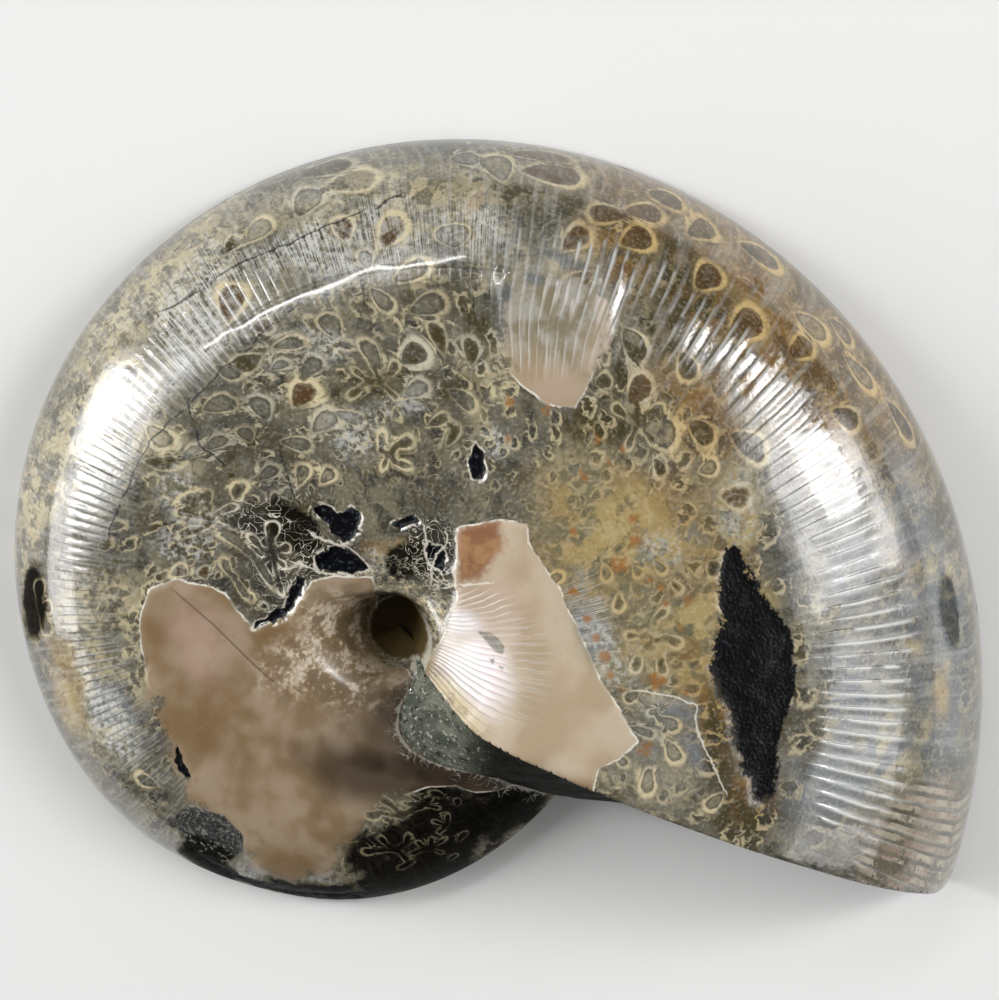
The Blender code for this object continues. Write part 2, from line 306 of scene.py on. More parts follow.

# stain patches, and blobs of painted shade and painted highlight: plan centre, half length, half width and
# direction of the length in degrees
stainsAndPaintedLight = {
    "ochre": ((52, 40, 34, 12, 132), (40, 30, 9, 7, 120), (44, -4, 16, 6, 95), (48, -20, 4, 4, 0),
              (26, 12, 9, 12, 20), (31, 50, 8, 6, 150), (34, 14, 12, 12, 0), (70.2, -1.5, 4.8, 2.0, 97),
              (68, 12, 8, 2.4, 105)),
    "cream": ((30, 14, 17, 14, 60), (35, -17, 9, 4, -20), (34, -8, 4, 3, 0), (-42, 24, 20, 4.5, 60),
              (-28, 46, 20, 4.5, 40), (-3, 56, 22, 5, 5), (-34, -2, 9, 4, 100), (-40.5, -5, 13, 4.5, 97),
              (-46, 18, 14, 2.4, 75), (72, -2, 14, 3, 96), (12, 34, 5, 6, 0), (-29, 24, 3, 6, 60)),
    "olive": ((-1, 33.5, 7, 2.2, 12), (5.5, 45, 3, 5, 90), (11.5, 40, 8, 2.0, 92), (8.5, 33, 5, 2.2, 20),
              (31, 34, 5, 3, 60), (26, 29, 4, 2.4, 0), (-24, 15, 3.2, 7, 80), (0.4, 24.9, 4, 3.6, 0),
              (31, 29, 6, 4, 20), (-14.5, 11, 3.4, 6.5, 65), (-21, 20, 2, 8, 150), (-46.5, 3, 6, 2.2, 80),
              (36, 40, 5, 3, 0), (39, 47, 9, 4.5, 145), (-27.5, 14, 2.6, 6, 75), (47, -23, 5, 3, 0),
              (55.6, -10.5, 8, 2.0, 88), (43.4, -13, 7, 2.2, 100), (-28, 9, 3, 3, 0), (22, 43, 5, 4, 0),
              (2.5, -33, 6, 4, 0)),
    "glass": ((72, -4, 22, 6, 97), (59, -19, 8, 6, 0), (66, -14, 9, 5, 90), (69, 14, 10, 4, 105),
              (40, -13.5, 1.6, 5, 20), (38, -9, 3, 2, 0), (27, 1, 2.4, 5, 25), (-37, -12, 3, 7, 30),
              (22.5, 45, 7, 7.5, 0)),
    "frost": ((-24, 43, 9, 5, 40), (-4, 52, 12, 5, 4), (12, 53, 8, 4, -8), (-4, 26.6, 4.5, 4, 0),
              (2.6, 31, 3.4, 1.4, 10), (-26, 12.6, 6, 4.5, 30), (29, -1, 3, 6, 35),
              (-36.5, -14.5, 7, 3.2, 115), (-10, 51, 14, 3.5, 12), (36, 12, 3, 3, 0), (-28, 19, 3, 4, 0),
              (46, 18, 3, 4, 0), (-8.6, 38.6, 5, 2, 0), (14, 26, 3, 2, 0), (-1.5, 9.5, 2, 2, 0)),
    # partly blackish stone, partly painted shade on the early whorl's underside and under the lip's overhang
    "dark": ((6, -29.5, 18, 8.5, 24), (16, -25, 6, 3.4, 10), (-10, -38.5, 14, 3.0, -12),
             (5, -19.8, 10, 2.2, -10), (-24, -34, 6, 3, -45), (-47.6, 1.5, 5.4, 1.6, 85),
             (74.6, 0.5, 4.2, 1.3, 98), (-12, 14, 6, 3, 130), (2, 10, 3, 3, 0)),
    # painted shade on the pearl under the lip's overhang, deep brown
    "amberShade": ((-2, -21, 11, 5, -20), (8, -18, 14, 4.6, -24), (6, -20, 9, 3, -20), (12, -21, 9, 3.4, -10),
              (2, -12, 5, 5, 0)),
    "brush": ((-24, 43, 9, 5, 40), (-4, 52, 12, 5, 4), (12, 53, 8, 4, -8), (-10, 51, 14, 3.5, 12),
              (-26, 38, 5, 4, 40), (26.6, 5.0, 3.0, 6.0, 20)),
    "steel": ((61.5, -10, 12, 4.6, 96), (61, 10, 8, 4, 100)),
    "mist": ((35.5, -15, 8.0, 5.4, -50), (34.5, -9, 3.4, 3, 0)),
    "quiet": ((30, 13, 11, 13, 60), (39, 2, 7, 12, 100), (46, 18, 4, 5, 0)),
    "mottle": ((-6, 1.5, 5, 7, 90), (-9, -4, 8, 5, 20), (-4, -8, 5, 4, 0), (-13, 5.4, 3, 2, 0),
               (3.4, 11, 5, 4, 0)),
    # painted highlight on the pearl beside the hole
    "pearlHighlight": ((11.3, -4.2, 5.4, 4.2, -55), (9.8, 2.0, 2.2, 3.0, 90)),
    "tan": ((-1.2, 11.2, 2.6, 2.0, 0), (2.2, 12.2, 1.6, 1.3, 0), (-43, -8, 2.5, 8, 5),
            (10.5, 52.5, 2.0, 2.4, 0), (73.4, -9, 4.2, 1.3, 95), (9.2, -8.6, 6.0, 2.1, -48)),
    "lace": ((-15.5, 9, 3.6, 8, 20), (-9, 10, 5, 4, 0), (5.5, 11, 4, 5, 0), (-3, -9.5, 4, 2.4, 0),
             (-17, 15, 5, 3, 0), (-8, -7, 3, 3, 0)),
    "rose": ((12.5, 3.5, 4.5, 6, 70), (22, 33.0, 3.4, 2, 0), (-25, -2, 4, 6, 10)),
}


def blobDepth(blobs):   # 1 deep inside any of the blobs, 0 well outside them all
    deepest = np.zeros(x.shape)
    for cx, cy, length, width, turn in blobs:
        c, s = math.cos(math.radians(turn)), math.sin(math.radians(turn))
        across = np.hypot(((x - cx) * c + (y - cy) * s) / length, (-(x - cx) * s + (y - cy) * c) / width)
        deepest = np.maximum(deepest, smooth(1.35 - across + 0.45 * drift))
    return deepest


edgeWobble = 0.35 * ragged
pearlNames = ("byHole", "lower", "top", "scrap")
pearlDepth = np.max([depthInside(pearl[name], x, y) for name in pearlNames], axis=0) + edgeWobble
chipDepth = np.max([depthInside(chip, x, y) for chip in chips], axis=0)
darkDepth = depthInside(darkPatch, x, y) + 2.4 * edgeWobble
hollowDepth = np.max([depthInside(o, x, y) for o in hollows["outlines"]], axis=0)
hollowDepth = hollowDepth + 0.5 * cloud(front, 1.5, 14)
crystalDepth = depthInside(crystals, x, y) + 1.5 * edgeWobble
crackX, crackY = x + 0.7 * cloud(front, 4.0, 11), y + 0.7 * cloud(front, 4.0, 12)
crackSide = sideOfLines(cracks, crackX, crackY)
paleSide = sideOfLines(paleSeams, crackX, crackY)
darkSide = sideOfLines(darkSeams, x, y)
quiet = blobDepth(stainsAndPaintedLight["quiet"])
print("ammonite: patches placed")

sutures = {
    "apart": math.radians(10.5),    # angle between one suture and the next
    "rowsApart": 0.13,              # gap between rows, as a share of the distance from the axis
    "reach": 0.07, "spread": 0.055,
    "length": 0.046,                # half a leaf's length, as a share of the distance from the axis
    "leftOut": 0.15,
    "tones": (0.1, 0.3, 0.3, 0.3, 0.3, 0.3, 0.35, 0.35, 0.35, 0.5, 0.5, 0.7),
    "seed": 41,
    "fromLip": 0.06, "fromEnd": 0.02,   # angles left clear at both ends of the coil
    "firstRow": 0.13,               # distance of the first row from the axis, as a share of the radius
    "lastRow": 0.9,                 # as the logarithm of that share, along the section
    "clearTip": ((70, -29), 15),    # the lip's tip has none: its place, and how far round it
}
growth = np.log(0.012) + np.concatenate([[0], np.cumsum(np.diff(arc) / (0.5 * (shares[1:] + shares[:-1])))])
# leaves set one by one: plan place, half length, half width, direction of the round end in degrees,
# tone (0 frosty, 0.3 grey, 0.5 olive, 0.7 brown, 0.9 black), breadth of the cream halo
leaves = (
    (-7.5, 41.2, 1.7, 1.6, 90, 0.3, 0.2), (-2.1, 37.4, 2.0, 1.2, 90, 0.3, 0.3),
    (3.5, 37.4, 2.2, 1.5, 20, 0.5, 0.9), (-9.9, 35.7, 2.1, 1.1, 35, 0.3, 0.3),
    (-12.9, 38.6, 2.0, 1.0, 5, 0.3, 0.5), (-14.1, 35.9, 1.3, 0.8, 20, 0.1, 0.4),
    (-18.2, 36.3, 2.0, 1.4, 200, 0.5, 0.5), (-21.0, 34.5, 1.7, 1.1, -40, 0.3, 0.2),
    (-22.4, 30.7, 1.8, 1.6, 10, 0.3, 0.2), (-16.5, 30.1, 2.0, 1.3, 82, 0.35, 0.4),
    (-10.9, 31.8, 2.3, 1.4, 40, 0.75, 1.0), (-8.5, 28.7, 2.3, 1.3, 30, 0.1, 0.8),
    (-11.9, 25.6, 1.8, 1.2, -20, 0.3, 0.3), (-18.7, 26.8, 1.3, 1.0, 90, 0.3, 0.1),
    (-22.2, 25.4, 1.5, 1.1, 30, 0.3, 0.2), (-25.5, 24.1, 1.3, 0.8, 40, 0.1, 0.3),
    (-30.3, 26.2, 2.2, 1.4, -60, 0.3, 0.9), (-29.7, 22.4, 2.2, 1.2, -30, 0.5, 0.2),
    (-26.1, 17.7, 1.4, 1.2, 100, 0.5, 0.8), (-19.5, 18.9, 1.4, 0.9, 60, 0.9, 0.9),
    (-15.7, 21.5, 1.6, 1.0, 30, 0.3, 0.1), (-11.0, 21.1, 1.5, 1.0, 60, 0.35, 0.8),
    (-8.0, 21.1, 1.3, 1.0, 40, 0.3, 1.0), (-15.2, 18.1, 1.2, 0.6, 60, 0.3, 0.2),
    (-12.9, 18.7, 0.9, 0.8, 90, 0.3, 0.2), (-9.4, 16.9, 1.1, 0.8, -60, 0.35, 0.2),
    (-4.9, 29.3, 1.6, 1.0, -20, 0.1, 0.3), (3.9, 33.2, 2.0, 1.1, 15, 0.1, 0.4),
    (9.8, 31.8, 1.9, 1.2, -40, 0.3, 0.3), (6.7, 29.1, 1.6, 0.8, 12, 0.5, 0.3),
    (8.6, 27.1, 1.6, 0.8, 45, 0.5, 0.2), (6.9, 40.0, 2.0, 1.2, 80, 0.5, 0.3),
    (10.9, 38.2, 1.8, 1.2, 60, 0.5, 0.3), (-27.4, 8.0, 1.2, 0.9, 120, 0.7, 0.6),
    (-24.2, 7.7, 1.0, 0.7, 90, 0.7, 0.5), (32.8, 32.7, 2.1, 1.7, 30, 0.7, 0.7),
    (40.8, 27.4, 2.2, 1.5, -50, 0.6, 0.2), (35.9, 27.9, 2.6, 1.9, -30, 0.35, 1.0),
    (32.1, 38.7, 2.1, 1.6, -60, 0.5, 0.3), (47.4, 25.9, 2.6, 1.8, -40, 0.5, 0.4),
    (41.9, 22.7, 1.3, 1.1, 0, 0.3, 0.6), (5.4, 44.2, 2.6, 1.5, 10, 0.3, 0.2),
    (33.7, -17.5, 2.0, 1.0, 255, 0.3, 0.6), (37.1, -13.8, 1.7, 1.05, -75, 0.35, 0.6),
    (37.2, -10.4, 1.4, 1.0, -50, 0.3, 0.35), (42.6, -20.4, 1.5, 0.95, 215, 0.3, 0.6),
    (32.2, -6.7, 1.0, 0.8, 200, 0.3, 0.3), (34.7, -8.7, 0.8, 0.5, 200, 0.35, 0.4),
    (33.3, -11.4, 1.7, 0.7, -30, 0.3, 0.2), (30.6, -15.0, 1.2, 0.7, -60, 0.3, 0.2),
    (30.5, 5.5, 1.1, 0.75, -90, 0.5, 0.7), (38.0, 7.6, 1.2, 0.5, -55, 0.5, 0.3),
    (28.8, 9.4, 1.1, 0.7, -80, 0.5, 0.7), (32.7, 9.5, 0.8, 0.6, -60, 0.5, 0.6),
    (42.3, 9.9, 1.2, 1.1, -60, 0.5, 0.4), (36.0, 10.4, 1.1, 0.6, -60, 0.35, 0.4),
    (21.6, 8.4, 1.3, 0.8, 20, 0.3, 0.6), (35.6, 22.9, 1.2, 0.9, -70, 0.5, 0.9),
    (-30.4, -7.0, 2.2, 1.2, 110, 0.35, 0.5), (-32.4, -21.4, 1.6, 0.9, 150, 0.35, 0.9),
    (-35.0, 33.0, 2.6, 1.6, 40, 0.5, 0.4), (48.0, 24.4, 1.6, 1.0, -50, 0.9, 0.7),
    (41.4, 52.3, 2.6, 2.0, 20, 0.5, 0.5), (49.3, 48.7, 3.4, 2.0, -30, 0.6, 0.4),
    (56.0, 39.7, 2.8, 1.8, -40, 0.35, 0.5), (60.4, 38.6, 2.2, 1.6, -50, 0.3, 0.3),
    (62.6, 33.1, 3.0, 1.6, -55, 0.35, 0.4), (68.0, 26.6, 3.4, 1.7, -62, 0.9, 0.2),
    (60.6, 28.2, 2.2, 1.7, -30, 0.9, 0.3), (54.5, 37.0, 2.2, 1.7, 20, 0.75, 0.6),
    (47.2, 40.7, 2.9, 2.3, 25, 0.65, 1.0), (41.9, 46.6, 2.3, 2.0, 30, 0.75, 0.5),
    (32.7, 51.8, 2.3, 2.0, 10, 0.7, 0.5), (24.9, 46.6, 2.2, 1.4, 200, 0.65, 0.2),
    (24.6, 52.2, 2.4, 1.6, 30, 0.65, 0.6), (33.5, 55.0, 2.6, 1.8, -10, 0.75, 0.4),
    (28.9, 55.2, 2.8, 1.6, 175, 0.7, 0.1), (36.8, 56.2, 2.6, 2.0, -20, 0.55, 0.3),
    (31.8, 39.3, 1.9, 1.5, -60, 0.3, 0.6), (39.3, 36.1, 1.9, 1.5, -80, 0.5, 0.5),
    (28.3, 34.1, 1.2, 1.0, 0, 0.5, 0.3), (45.3, 19.2, 2.1, 1.5, -20, 0.75, 1.0),
    (-4.6, 58.9, 3.4, 2.2, 5, 0.5, 0.6), (-8.4, 60.2, 3.6, 2.2, 8, 0.5, 0.2),
    (-11.0, 56.3, 2.5, 2.1, 60, 0.3, 0.5), (-17.3, 52.4, 2.2, 1.6, 40, 0.1, 0.5),
    (-20.5, 50.7, 1.4, 1.2, 50, 0.5, 0.4), (-5.9, 53.1, 1.8, 1.5, 90, 0.65, 0.4),
    (0.2, 53.0, 2.6, 1.8, 50, 0.65, 0.8), (14.9, 60.7, 2.6, 2.2, 90, 0.3, 0.4),
    (21.7, 59.8, 4.0, 2.4, -12, 0.65, 0.4), (20.0, 61.8, 4.4, 1.6, -8, 0.75, 0.1),
    (9.9, 61.5, 2.0, 1.6, 0, 0.4, 0.2), (-20.6, 43.8, 2.6, 2.0, 70, 0.65, 0.8),
    (-16.6, 40.7, 1.5, 1.1, 0, 0.75, 0.3), (2.9, 48.0, 2.6, 1.4, 20, 0.3, 0.5),
    (-0.8, 44.6, 1.8, 1.2, -60, 0.3, 0.4), (8.4, 52.4, 1.6, 2.6, 90, 0.4, 0.1),
    (-2.6, 49.6, 1.4, 1.1, 90, 0.3, 0.3), (6.6, -23.4, 0.8, 0.6, 100, 0.95, 0.1),
    (9.0, -24.4, 0.7, 0.5, 70, 0.95, 0.1), (9.6, -29.6, 1.1, 0.5, 40, 0.95, 0.1),
    (2.0, -33.6, 1.1, 0.5, 200, 0.95, 0.1), (8.4, -33.0, 1.0, 0.45, 30, 0.95, 0.1),
    (-18.2, 4.5, 0.62, 0.5, 100, 0.9, 1.0), (-16.6, 3.3, 0.55, 0.45, 30, 0.9, 1.0),
)
# lobes that meet: plan place of the stem, tone and breadth of the halo as above, then each lobe's
# offset, half length, half width and direction
clusters = (
    ((0.3, 24.3), 0.85, 0.75, ((-0.9, 1.6, 1.5, 0.62, 68), (2.1, 1.2, 1.5, 0.85, 15),
                               (1.5, -1.5, 1.3, 0.62, -20), (-0.8, -1.0, 1.0, 0.5, 245))),
    ((-23.6, 15.2), 0.5, 0.25, ((-1.8, 2.6, 1.3, 0.7, 120), (0.6, 3.6, 1.5, 0.6, 80),
                                (2.0, 0.8, 1.2, 0.7, 10), (-2.2, -0.6, 1.5, 0.9, 170),
                                (1.0, -2.4, 1.3, 0.5, -70))),
    ((-15.3, 10.4), 0.9, 0.5, ((0.2, 3.1, 1.4, 1.0, 75), (-2.1, 1.6, 1.5, 0.6, 120),
                               (1.8, 1.0, 1.0, 0.65, 15), (0.4, -3.6, 1.2, 0.65, -85),
                               (1.2, -1.0, 0.9, 0.5, -30), (-1.3, -0.8, 0.8, 0.5, 200))),
    ((-18.2, 10.6), 0.3, 0.4, ((-1.6, 2.6, 2.3, 0.9, 118), (1.2, -2.0, 2.6, 0.8, -60))),
    ((-13.0, 7.6), 0.35, 0.4, ((0.9, 0.9, 1.3, 0.4, 45), (0.0, -1.2, 1.1, 0.35, -70))),
    ((-20.0, 7.4), 0.4, 0.4, ((0.4, -1.8, 1.8, 0.6, -70), (-0.8, 1.6, 1.5, 0.6, 100))),
    ((-1.4, 33.6), 0.6, 0.3, ((-3.4, -0.8, 1.4, 0.6, 200), (-1.6, 1.2, 1.0, 0.5, 120),
                              (0.6, 1.6, 1.1, 0.5, 80), (3.0, 1.4, 1.3, 0.6, 40),
                              (1.2, -1.6, 1.0, 0.5, -60))),
    ((33.2, 29.2), 0.6, 0.3, ((-2.4, 2.0, 1.2, 0.7, 130), (0.4, 3.0, 1.2, 0.8, 80), (2.6, 0.4, 1.4, 0.8, 0),
                              (-1.8, -1.8, 1.1, 0.6, 230), (1.0, -2.0, 1.0, 0.5, -60))),
    ((1.6, -26.4), 0.95, 0.35, ((-2.6, 0.8, 1.2, 0.6, 190), (0.4, 1.8, 1.3, 0.7, 90),
                                (2.8, 0.6, 1.2, 0.6, 10))),
    ((0.6, -31.2), 0.95, 0.3, ((-3.0, 0.4, 1.2, 0.6, 180), (-0.8, 1.6, 0.9, 0.5, 110),
                               (2.2, 1.0, 1.0, 0.5, 50), (0.6, -1.6, 1.0, 0.5, -80))),
    ((4.4, -24.6), 0.95, 0.1, ((-0.9, 0.5, 0.9, 0.4, 160), (0.2, 1.1, 0.8, 0.4, 90), (1.1, 0.5, 0.8, 0.4, 30),
                               (0.9, -0.7, 0.7, 0.35, -40))),
    ((7.6, -27.8), 0.95, 0.1, ((-0.8, 0.6, 0.8, 0.4, 140), (0.5, 1.0, 0.8, 0.4, 70),
                               (-0.9, -0.6, 0.8, 0.35, 215))),
    ((5.2, -31.4), 0.95, 0.15, ((-1.6, 0.0, 0.9, 0.4, 190), (-0.6, 1.1, 0.8, 0.4, 110),
                                (0.8, 1.1, 0.9, 0.4, 60), (1.9, 0.7, 0.9, 0.4, 20),
                                (0.9, -0.9, 0.7, 0.35, -50))),
    ((-3.6, -29.2), 0.95, 0.15, ((-1.2, 0.2, 0.9, 0.4, 180), (-0.4, 1.2, 0.8, 0.4, 110),
                                 (0.9, 0.8, 0.8, 0.4, 40), (0.6, -1.1, 0.7, 0.35, -70))),
    ((35.0, 0.6), 0.55, 0.45, ((2.8, -0.6, 1.3, 0.75, -45), (-2.2, 1.3, 0.9, 0.55, 170),
                               (-2.0, -2.4, 1.4, 0.75, 250), (1.0, -3.7, 1.3, 0.65, -80),
                               (1.8, 3.4, 1.3, 0.6, 30))),
    ((-46.6, 1.6), 0.6, 0.3, ((0.2, 2.4, 1.5, 1.2, 80), (0.4, -2.2, 1.5, 1.2, -80), (1.2, 0.0, 1.0, 1.0, 0))),
)
leafGap = np.full(x.shape, 9.0)     # distance to the nearest lobe's outline, negative inside
stemGap = np.full(x.shape, 9.0)
lobeMarks = {
    "leafAhead": np.full(x.shape, 9.0), "leafAside": np.full(x.shape, 9.0), "leafWide": np.ones(x.shape),
    "leafTone": np.full(x.shape, 0.3), "leafGlow": np.zeros(x.shape), "leafComb": np.zeros(x.shape),
}


def nearestPlace(px, py):   # angle along the coil and distance out along the section, of a plan point
    column, ring = np.unravel_index(np.argmin(np.hypot(x - px, y - py)), x.shape)
    return along[column], arc[ring]


def drawLobes(place, out, lobes, tone, glow, comb=0.0):
    # lobes are (towards the lip, outwards, half length, half width, turn) in millimetres; stems join several
    big = coilR[min(np.searchsorted(along, place), frontCount - 1)]
    reach = (max(math.hypot(lobe[0], lobe[1]) + lobe[2] for lobe in lobes) + 2.2) / big
    lean = max(shares[min(np.searchsorted(arc, out), len(shares) - 1)], 0.05)
    c0, c1 = np.searchsorted(along, [place - reach / lean, place + reach / lean])
    r0, r1 = np.searchsorted(arc, [out - reach, out + reach])
    if c1 <= c0 or r1 <= r0:
        return
    a = -(along[c0:c1, None] - place) * shares[None, r0:r1] * big
    b = np.broadcast_to((arc[None, r0:r1] - out) * big, a.shape)
    window = (slice(c0, c1), slice(r0, r1))
    for ahead, outwards, long, wide, turn in lobes:
        c, s = math.cos(turn), math.sin(turn)
        u, v = ((a - ahead) * c + (b - outwards) * s) / long, (-(a - ahead) * s + (b - outwards) * c) / wide
        gap = (np.hypot(u, v / np.clip(0.84 + 0.36 * u, 0.3, 1.2)) - 1) * wide
        nearer = gap < leafGap[window]
        leafGap[window] = np.where(nearer, gap, leafGap[window])
        for name, value in zip(lobeMarks, (u, v, wide, tone, glow, comb)):
            lobeMarks[name][window] = np.where(nearer, value, lobeMarks[name][window])
        if len(lobes) > 1:
            stemX, stemY = ahead - c * long * 0.7, outwards - s * long * 0.7
            t = np.clip((a * stemX + b * stemY) / max(stemX ** 2 + stemY ** 2, 1e-6), 0, 1)
            gap = np.hypot(a - t * stemX, b - t * stemY) - 0.40 * wide - 0.12
            stemGap[window] = np.minimum(stemGap[window], gap)


def localTurn(px, py, degrees):   # a plan direction, as an angle from the direction towards the lip
    towards = math.atan2(py, px) - math.pi / 2
    return math.radians(degrees) - towards


def drawPlacedLeaves():
    for px, py, long, wide, head, tone, glow in leaves:
        place, out = nearestPlace(px, py)
        drawLobes(place, out, [(0, 0, long, wide, localTurn(px, py, head))], tone, glow,
                  (px * 7 + py * 3) % 1.0)
    for (px, py), tone, glow, lobes in clusters:
        place, out = nearestPlace(px, py)
        turned = []
        for dx, dy, long, wide, head in lobes:
            away = localTurn(px, py, math.degrees(math.atan2(dy, dx)))
            far = math.hypot(dx, dy)
            turned.append((far * math.cos(away), far * math.sin(away), long, wide, localTurn(px, py, head)))
        drawLobes(place, out, turned, tone, glow)


def drawSutures():   # fills in between the leaves above, in lines that run outwards from the hole
    dice = random.Random(sutures["seed"])
    (tipX, tipY), clear = sutures["clearTip"]
    place = along[0] + sutures["fromLip"]
    while place < along[-1] - sutures["fromEnd"]:
        outwards = math.log(sutures["firstRow"])
        while outwards < sutures["lastRow"]:
            ring = min(np.searchsorted(growth, outwards), len(shares) - 1)
            share, out = shares[ring], arc[ring]
            big = coilR[min(np.searchsorted(along, place), frontCount - 1)]
            size = big * min(share, 0.80)
            for side in (0, 1, -1):
                ahead = place - (sutures["reach"] * (1 - abs(side)) + dice.gauss(0, 0.035))
                spot = out + (side * sutures["spread"] + dice.gauss(0, 0.02)) * share
                tone = dice.choice(sutures["tones"])
                glow, comb, skip = dice.random() ** 1.3, dice.random(), dice.random()
                long = size * sutures["length"] * dice.uniform(0.7, 1.15)
                wide = long * dice.uniform(0.52, 0.78)
                turn = side * math.radians(40) + dice.gauss(0, 0.45)
                c = min(max(np.searchsorted(along, ahead), 0), frontCount - 1)
                r = min(np.searchsorted(arc, spot), len(shares) - 1)
                crowded = leafGap[c, r] < long + 0.3 or stemGap[c, r] < long
                atTip = math.hypot(x[c, r] - tipX, y[c, r] - tipY) < clear
                if skip < sutures["leftOut"] or crowded or quiet[c, r] > 0.4 or atTip:
                    continue
                drawLobes(ahead, spot, [(0, 0, long, wide, turn)], tone, glow, comb)
            outwards += sutures["rowsApart"] * dice.uniform(0.85, 1.15)
        place += sutures["apart"] * dice.uniform(0.85, 1.15)


drawPlacedLeaves()
drawSutures()
print("ammonite: sutures drawn")

relief = {
    "waviness": 0.09,
    "ribsApart": math.radians(1.62),
    "ribLean": ((-27, 9), (0, 5), (42, 0), (90, 3), (165, 9), (300, 6)),   # growth lines' slant, by angle
    "ribStrength": ((-27, 1.0), (-20, 1.7), (8, 1.7), (16, 1.1), (34, 1.5), (64, 1.5), (76, 0.4), (106, 0.3),
                    (118, 1.2), (200, 0.9), (240, 0.4)),
    "ribBand": (0.70, 0.885),        # shares between which the growth lines are left by the polishing
    "polishEdge": 0.782,             # share at which two polished facets meet
    "patchDepth": 0.35,              # how far the black patch is sunk
    "druseDepth": 0.30,              # height of the crystals
    "tip": (72.3, -30.0), "tipReach": 10.5,
    "fan": (12, -3), "fanReach": 11.5,   # growth lines on the pearl beside the hole
    "stoneGrain": ((0.18, 2.2, 31, 5), (0.25, 9.0, 33, 3)),   # on the stone fill: height, size, seed, depth
}
normals = normalsOf(skin)
angleHere = np.degrees(np.arctan2(y, x))
angleHere = np.where(angleHere < -46, angleHere + 360, angleHere)
lean = through(relief["ribLean"], angleHere)
edgeOfPolish = (arc - np.interp(relief["polishEdge"], shares, arc))[None, :] * coilR[:, None] + 0.05 * swell
edgeSpan = smooth((angleHere - 61) / 4) * smooth((124 - angleHere) / 4)
ribPhase = along[:, None] / relief["ribsApart"] + lean * (shares[None, :] - 0.8)
inner, outer = relief["ribBand"]
band = smooth((shares[None, :] - inner + 0.05 * drift) / 0.05)
band = band * smooth((outer - shares[None, :] + 0.03 * ragged) / 0.03)
tipX, tipY = relief["tip"]
tip = smooth((relief["tipReach"] - np.hypot((x - tipX) * 0.9, y - tipY)) / 3 + 0.4 * ragged)
fanX, fanY = relief["fan"]
fromFan = np.hypot(x - fanX, y - fanY)
fanned = smooth((pearlDepth + 0.5) / 1.0) * smooth((relief["fanReach"] - fromFan) / 5) * (x > 2)
fanned = np.maximum(fanned, smooth(pearlDepth / 1.5) * smooth((y - 33) / 5) * (x > 10))
swelling = 0.35 + 0.65 * smooth((shares[None, :] - inner) / 0.15)
ribbed = through(relief["ribStrength"], angleHere)
worn = (y > -22 - 3 * (x > 30)) * swelling * smooth(0.9 + 1.3 * swell)
ribDepth = np.maximum(band * ribbed * worn, np.maximum(fanned * 0.45, tip))
ledge = pearl["step"] * smooth(0.5 + pearlDepth / pearl["run"])
sunk = -relief["patchDepth"] * smooth(0.5 + darkDepth / 1.2) * (1 + 0.5 * cloud(front, 1.6, 21, 4))
hollow = -hollows["depth"] * smooth(0.5 + hollowDepth / 1.5)
druse = smooth(0.5 + crystalDepth / 1.0) * relief["druseDepth"] * (np.abs(cloud(front, 1.1, 23, 4)) - 1)
fade = smooth((z - coil["edge"]) / 2.0) * smooth((shares[None, :] - 0.05) / 0.04)
lift = (relief["waviness"] * swell + ledge + sunk + hollow + druse) * fade
skin[:frontCount] += normals[:frontCount] * lift[..., None]
stone = skin[frontCount:]
grain = sum(height * cloud(stone, size, seed, depth) for height, size, seed, depth in relief["stoneGrain"])
grain[-4:] *= 0.0
grain *= smooth((stone[..., 2] - coil["edge"]) / 1.0) * smooth((shares[None, :] - 0.06) / 0.06)
skin[frontCount:] += normals[frontCount:] * grain[..., None]
print("ammonite: relief raised")


def closedBody(name):
    # a sphere has the same rings and columns, so its vertices are moved to the shell's places
    face = grid["faceRings"]
    allRings = rings + face
    bpy.ops.mesh.primitive_uv_sphere_add(segments=columns, ring_count=allRings + 1, radius=1,
                                         location=(0, 0, 0))
    body = bpy.context.object
    body.name = name
    body.data.name = name
    count = len(body.data.vertices)
    flat = np.empty(count * 3)
    body.data.vertices.foreach_get("co", flat)
    ball = flat.reshape(-1, 3)
    column = np.round(np.arctan2(ball[:, 1], ball[:, 0]) / fullTurn * columns).astype(int) % columns
    ring = np.round(np.arccos(np.clip(ball[:, 2], -1, 1)) / math.pi * (allRings + 1)).astype(int) - 1
    rim = skin[:, -1]
    inset = rim * np.array([1, 1, 0]) * (1 - coil["edge"] / np.hypot(rim[:, 0], rim[:, 1]))[:, None]
    sawn = [inset * (1 - k / face) for k in range(face)]
    every = np.concatenate([skin, np.stack(sawn, 1)], 1)
    top, bottom = ring < 0, ring >= allRings
    place = every[column, np.clip(ring, 0, allRings - 1)]
    place[top] = (0, 0, coil["holeFloor"])
    place[bottom] = (0, 0, 0)
    body.data.vertices.foreach_set("co", (place * mm).ravel())
    body.data.update()
    return body, column, ring


bpy.ops.object.select_all(action="DESELECT")
ammonite, vertexColumn, vertexRing = closedBody("ammonite")


def paint(name, values, elsewhere=0.0):
    # a number at every vertex: values on the front or on all the skin, a constant elsewhere
    row = np.full(len(vertexColumn), float(elsewhere), np.float32)
    covered = (vertexColumn < len(values)) & (vertexRing >= 0) & (vertexRing < rings)
    row[covered] = values[vertexColumn[covered], vertexRing[covered]]
    layer = ammonite.data.attributes.new(name, "FLOAT", "POINT")
    layer.data.foreach_set("value", row)


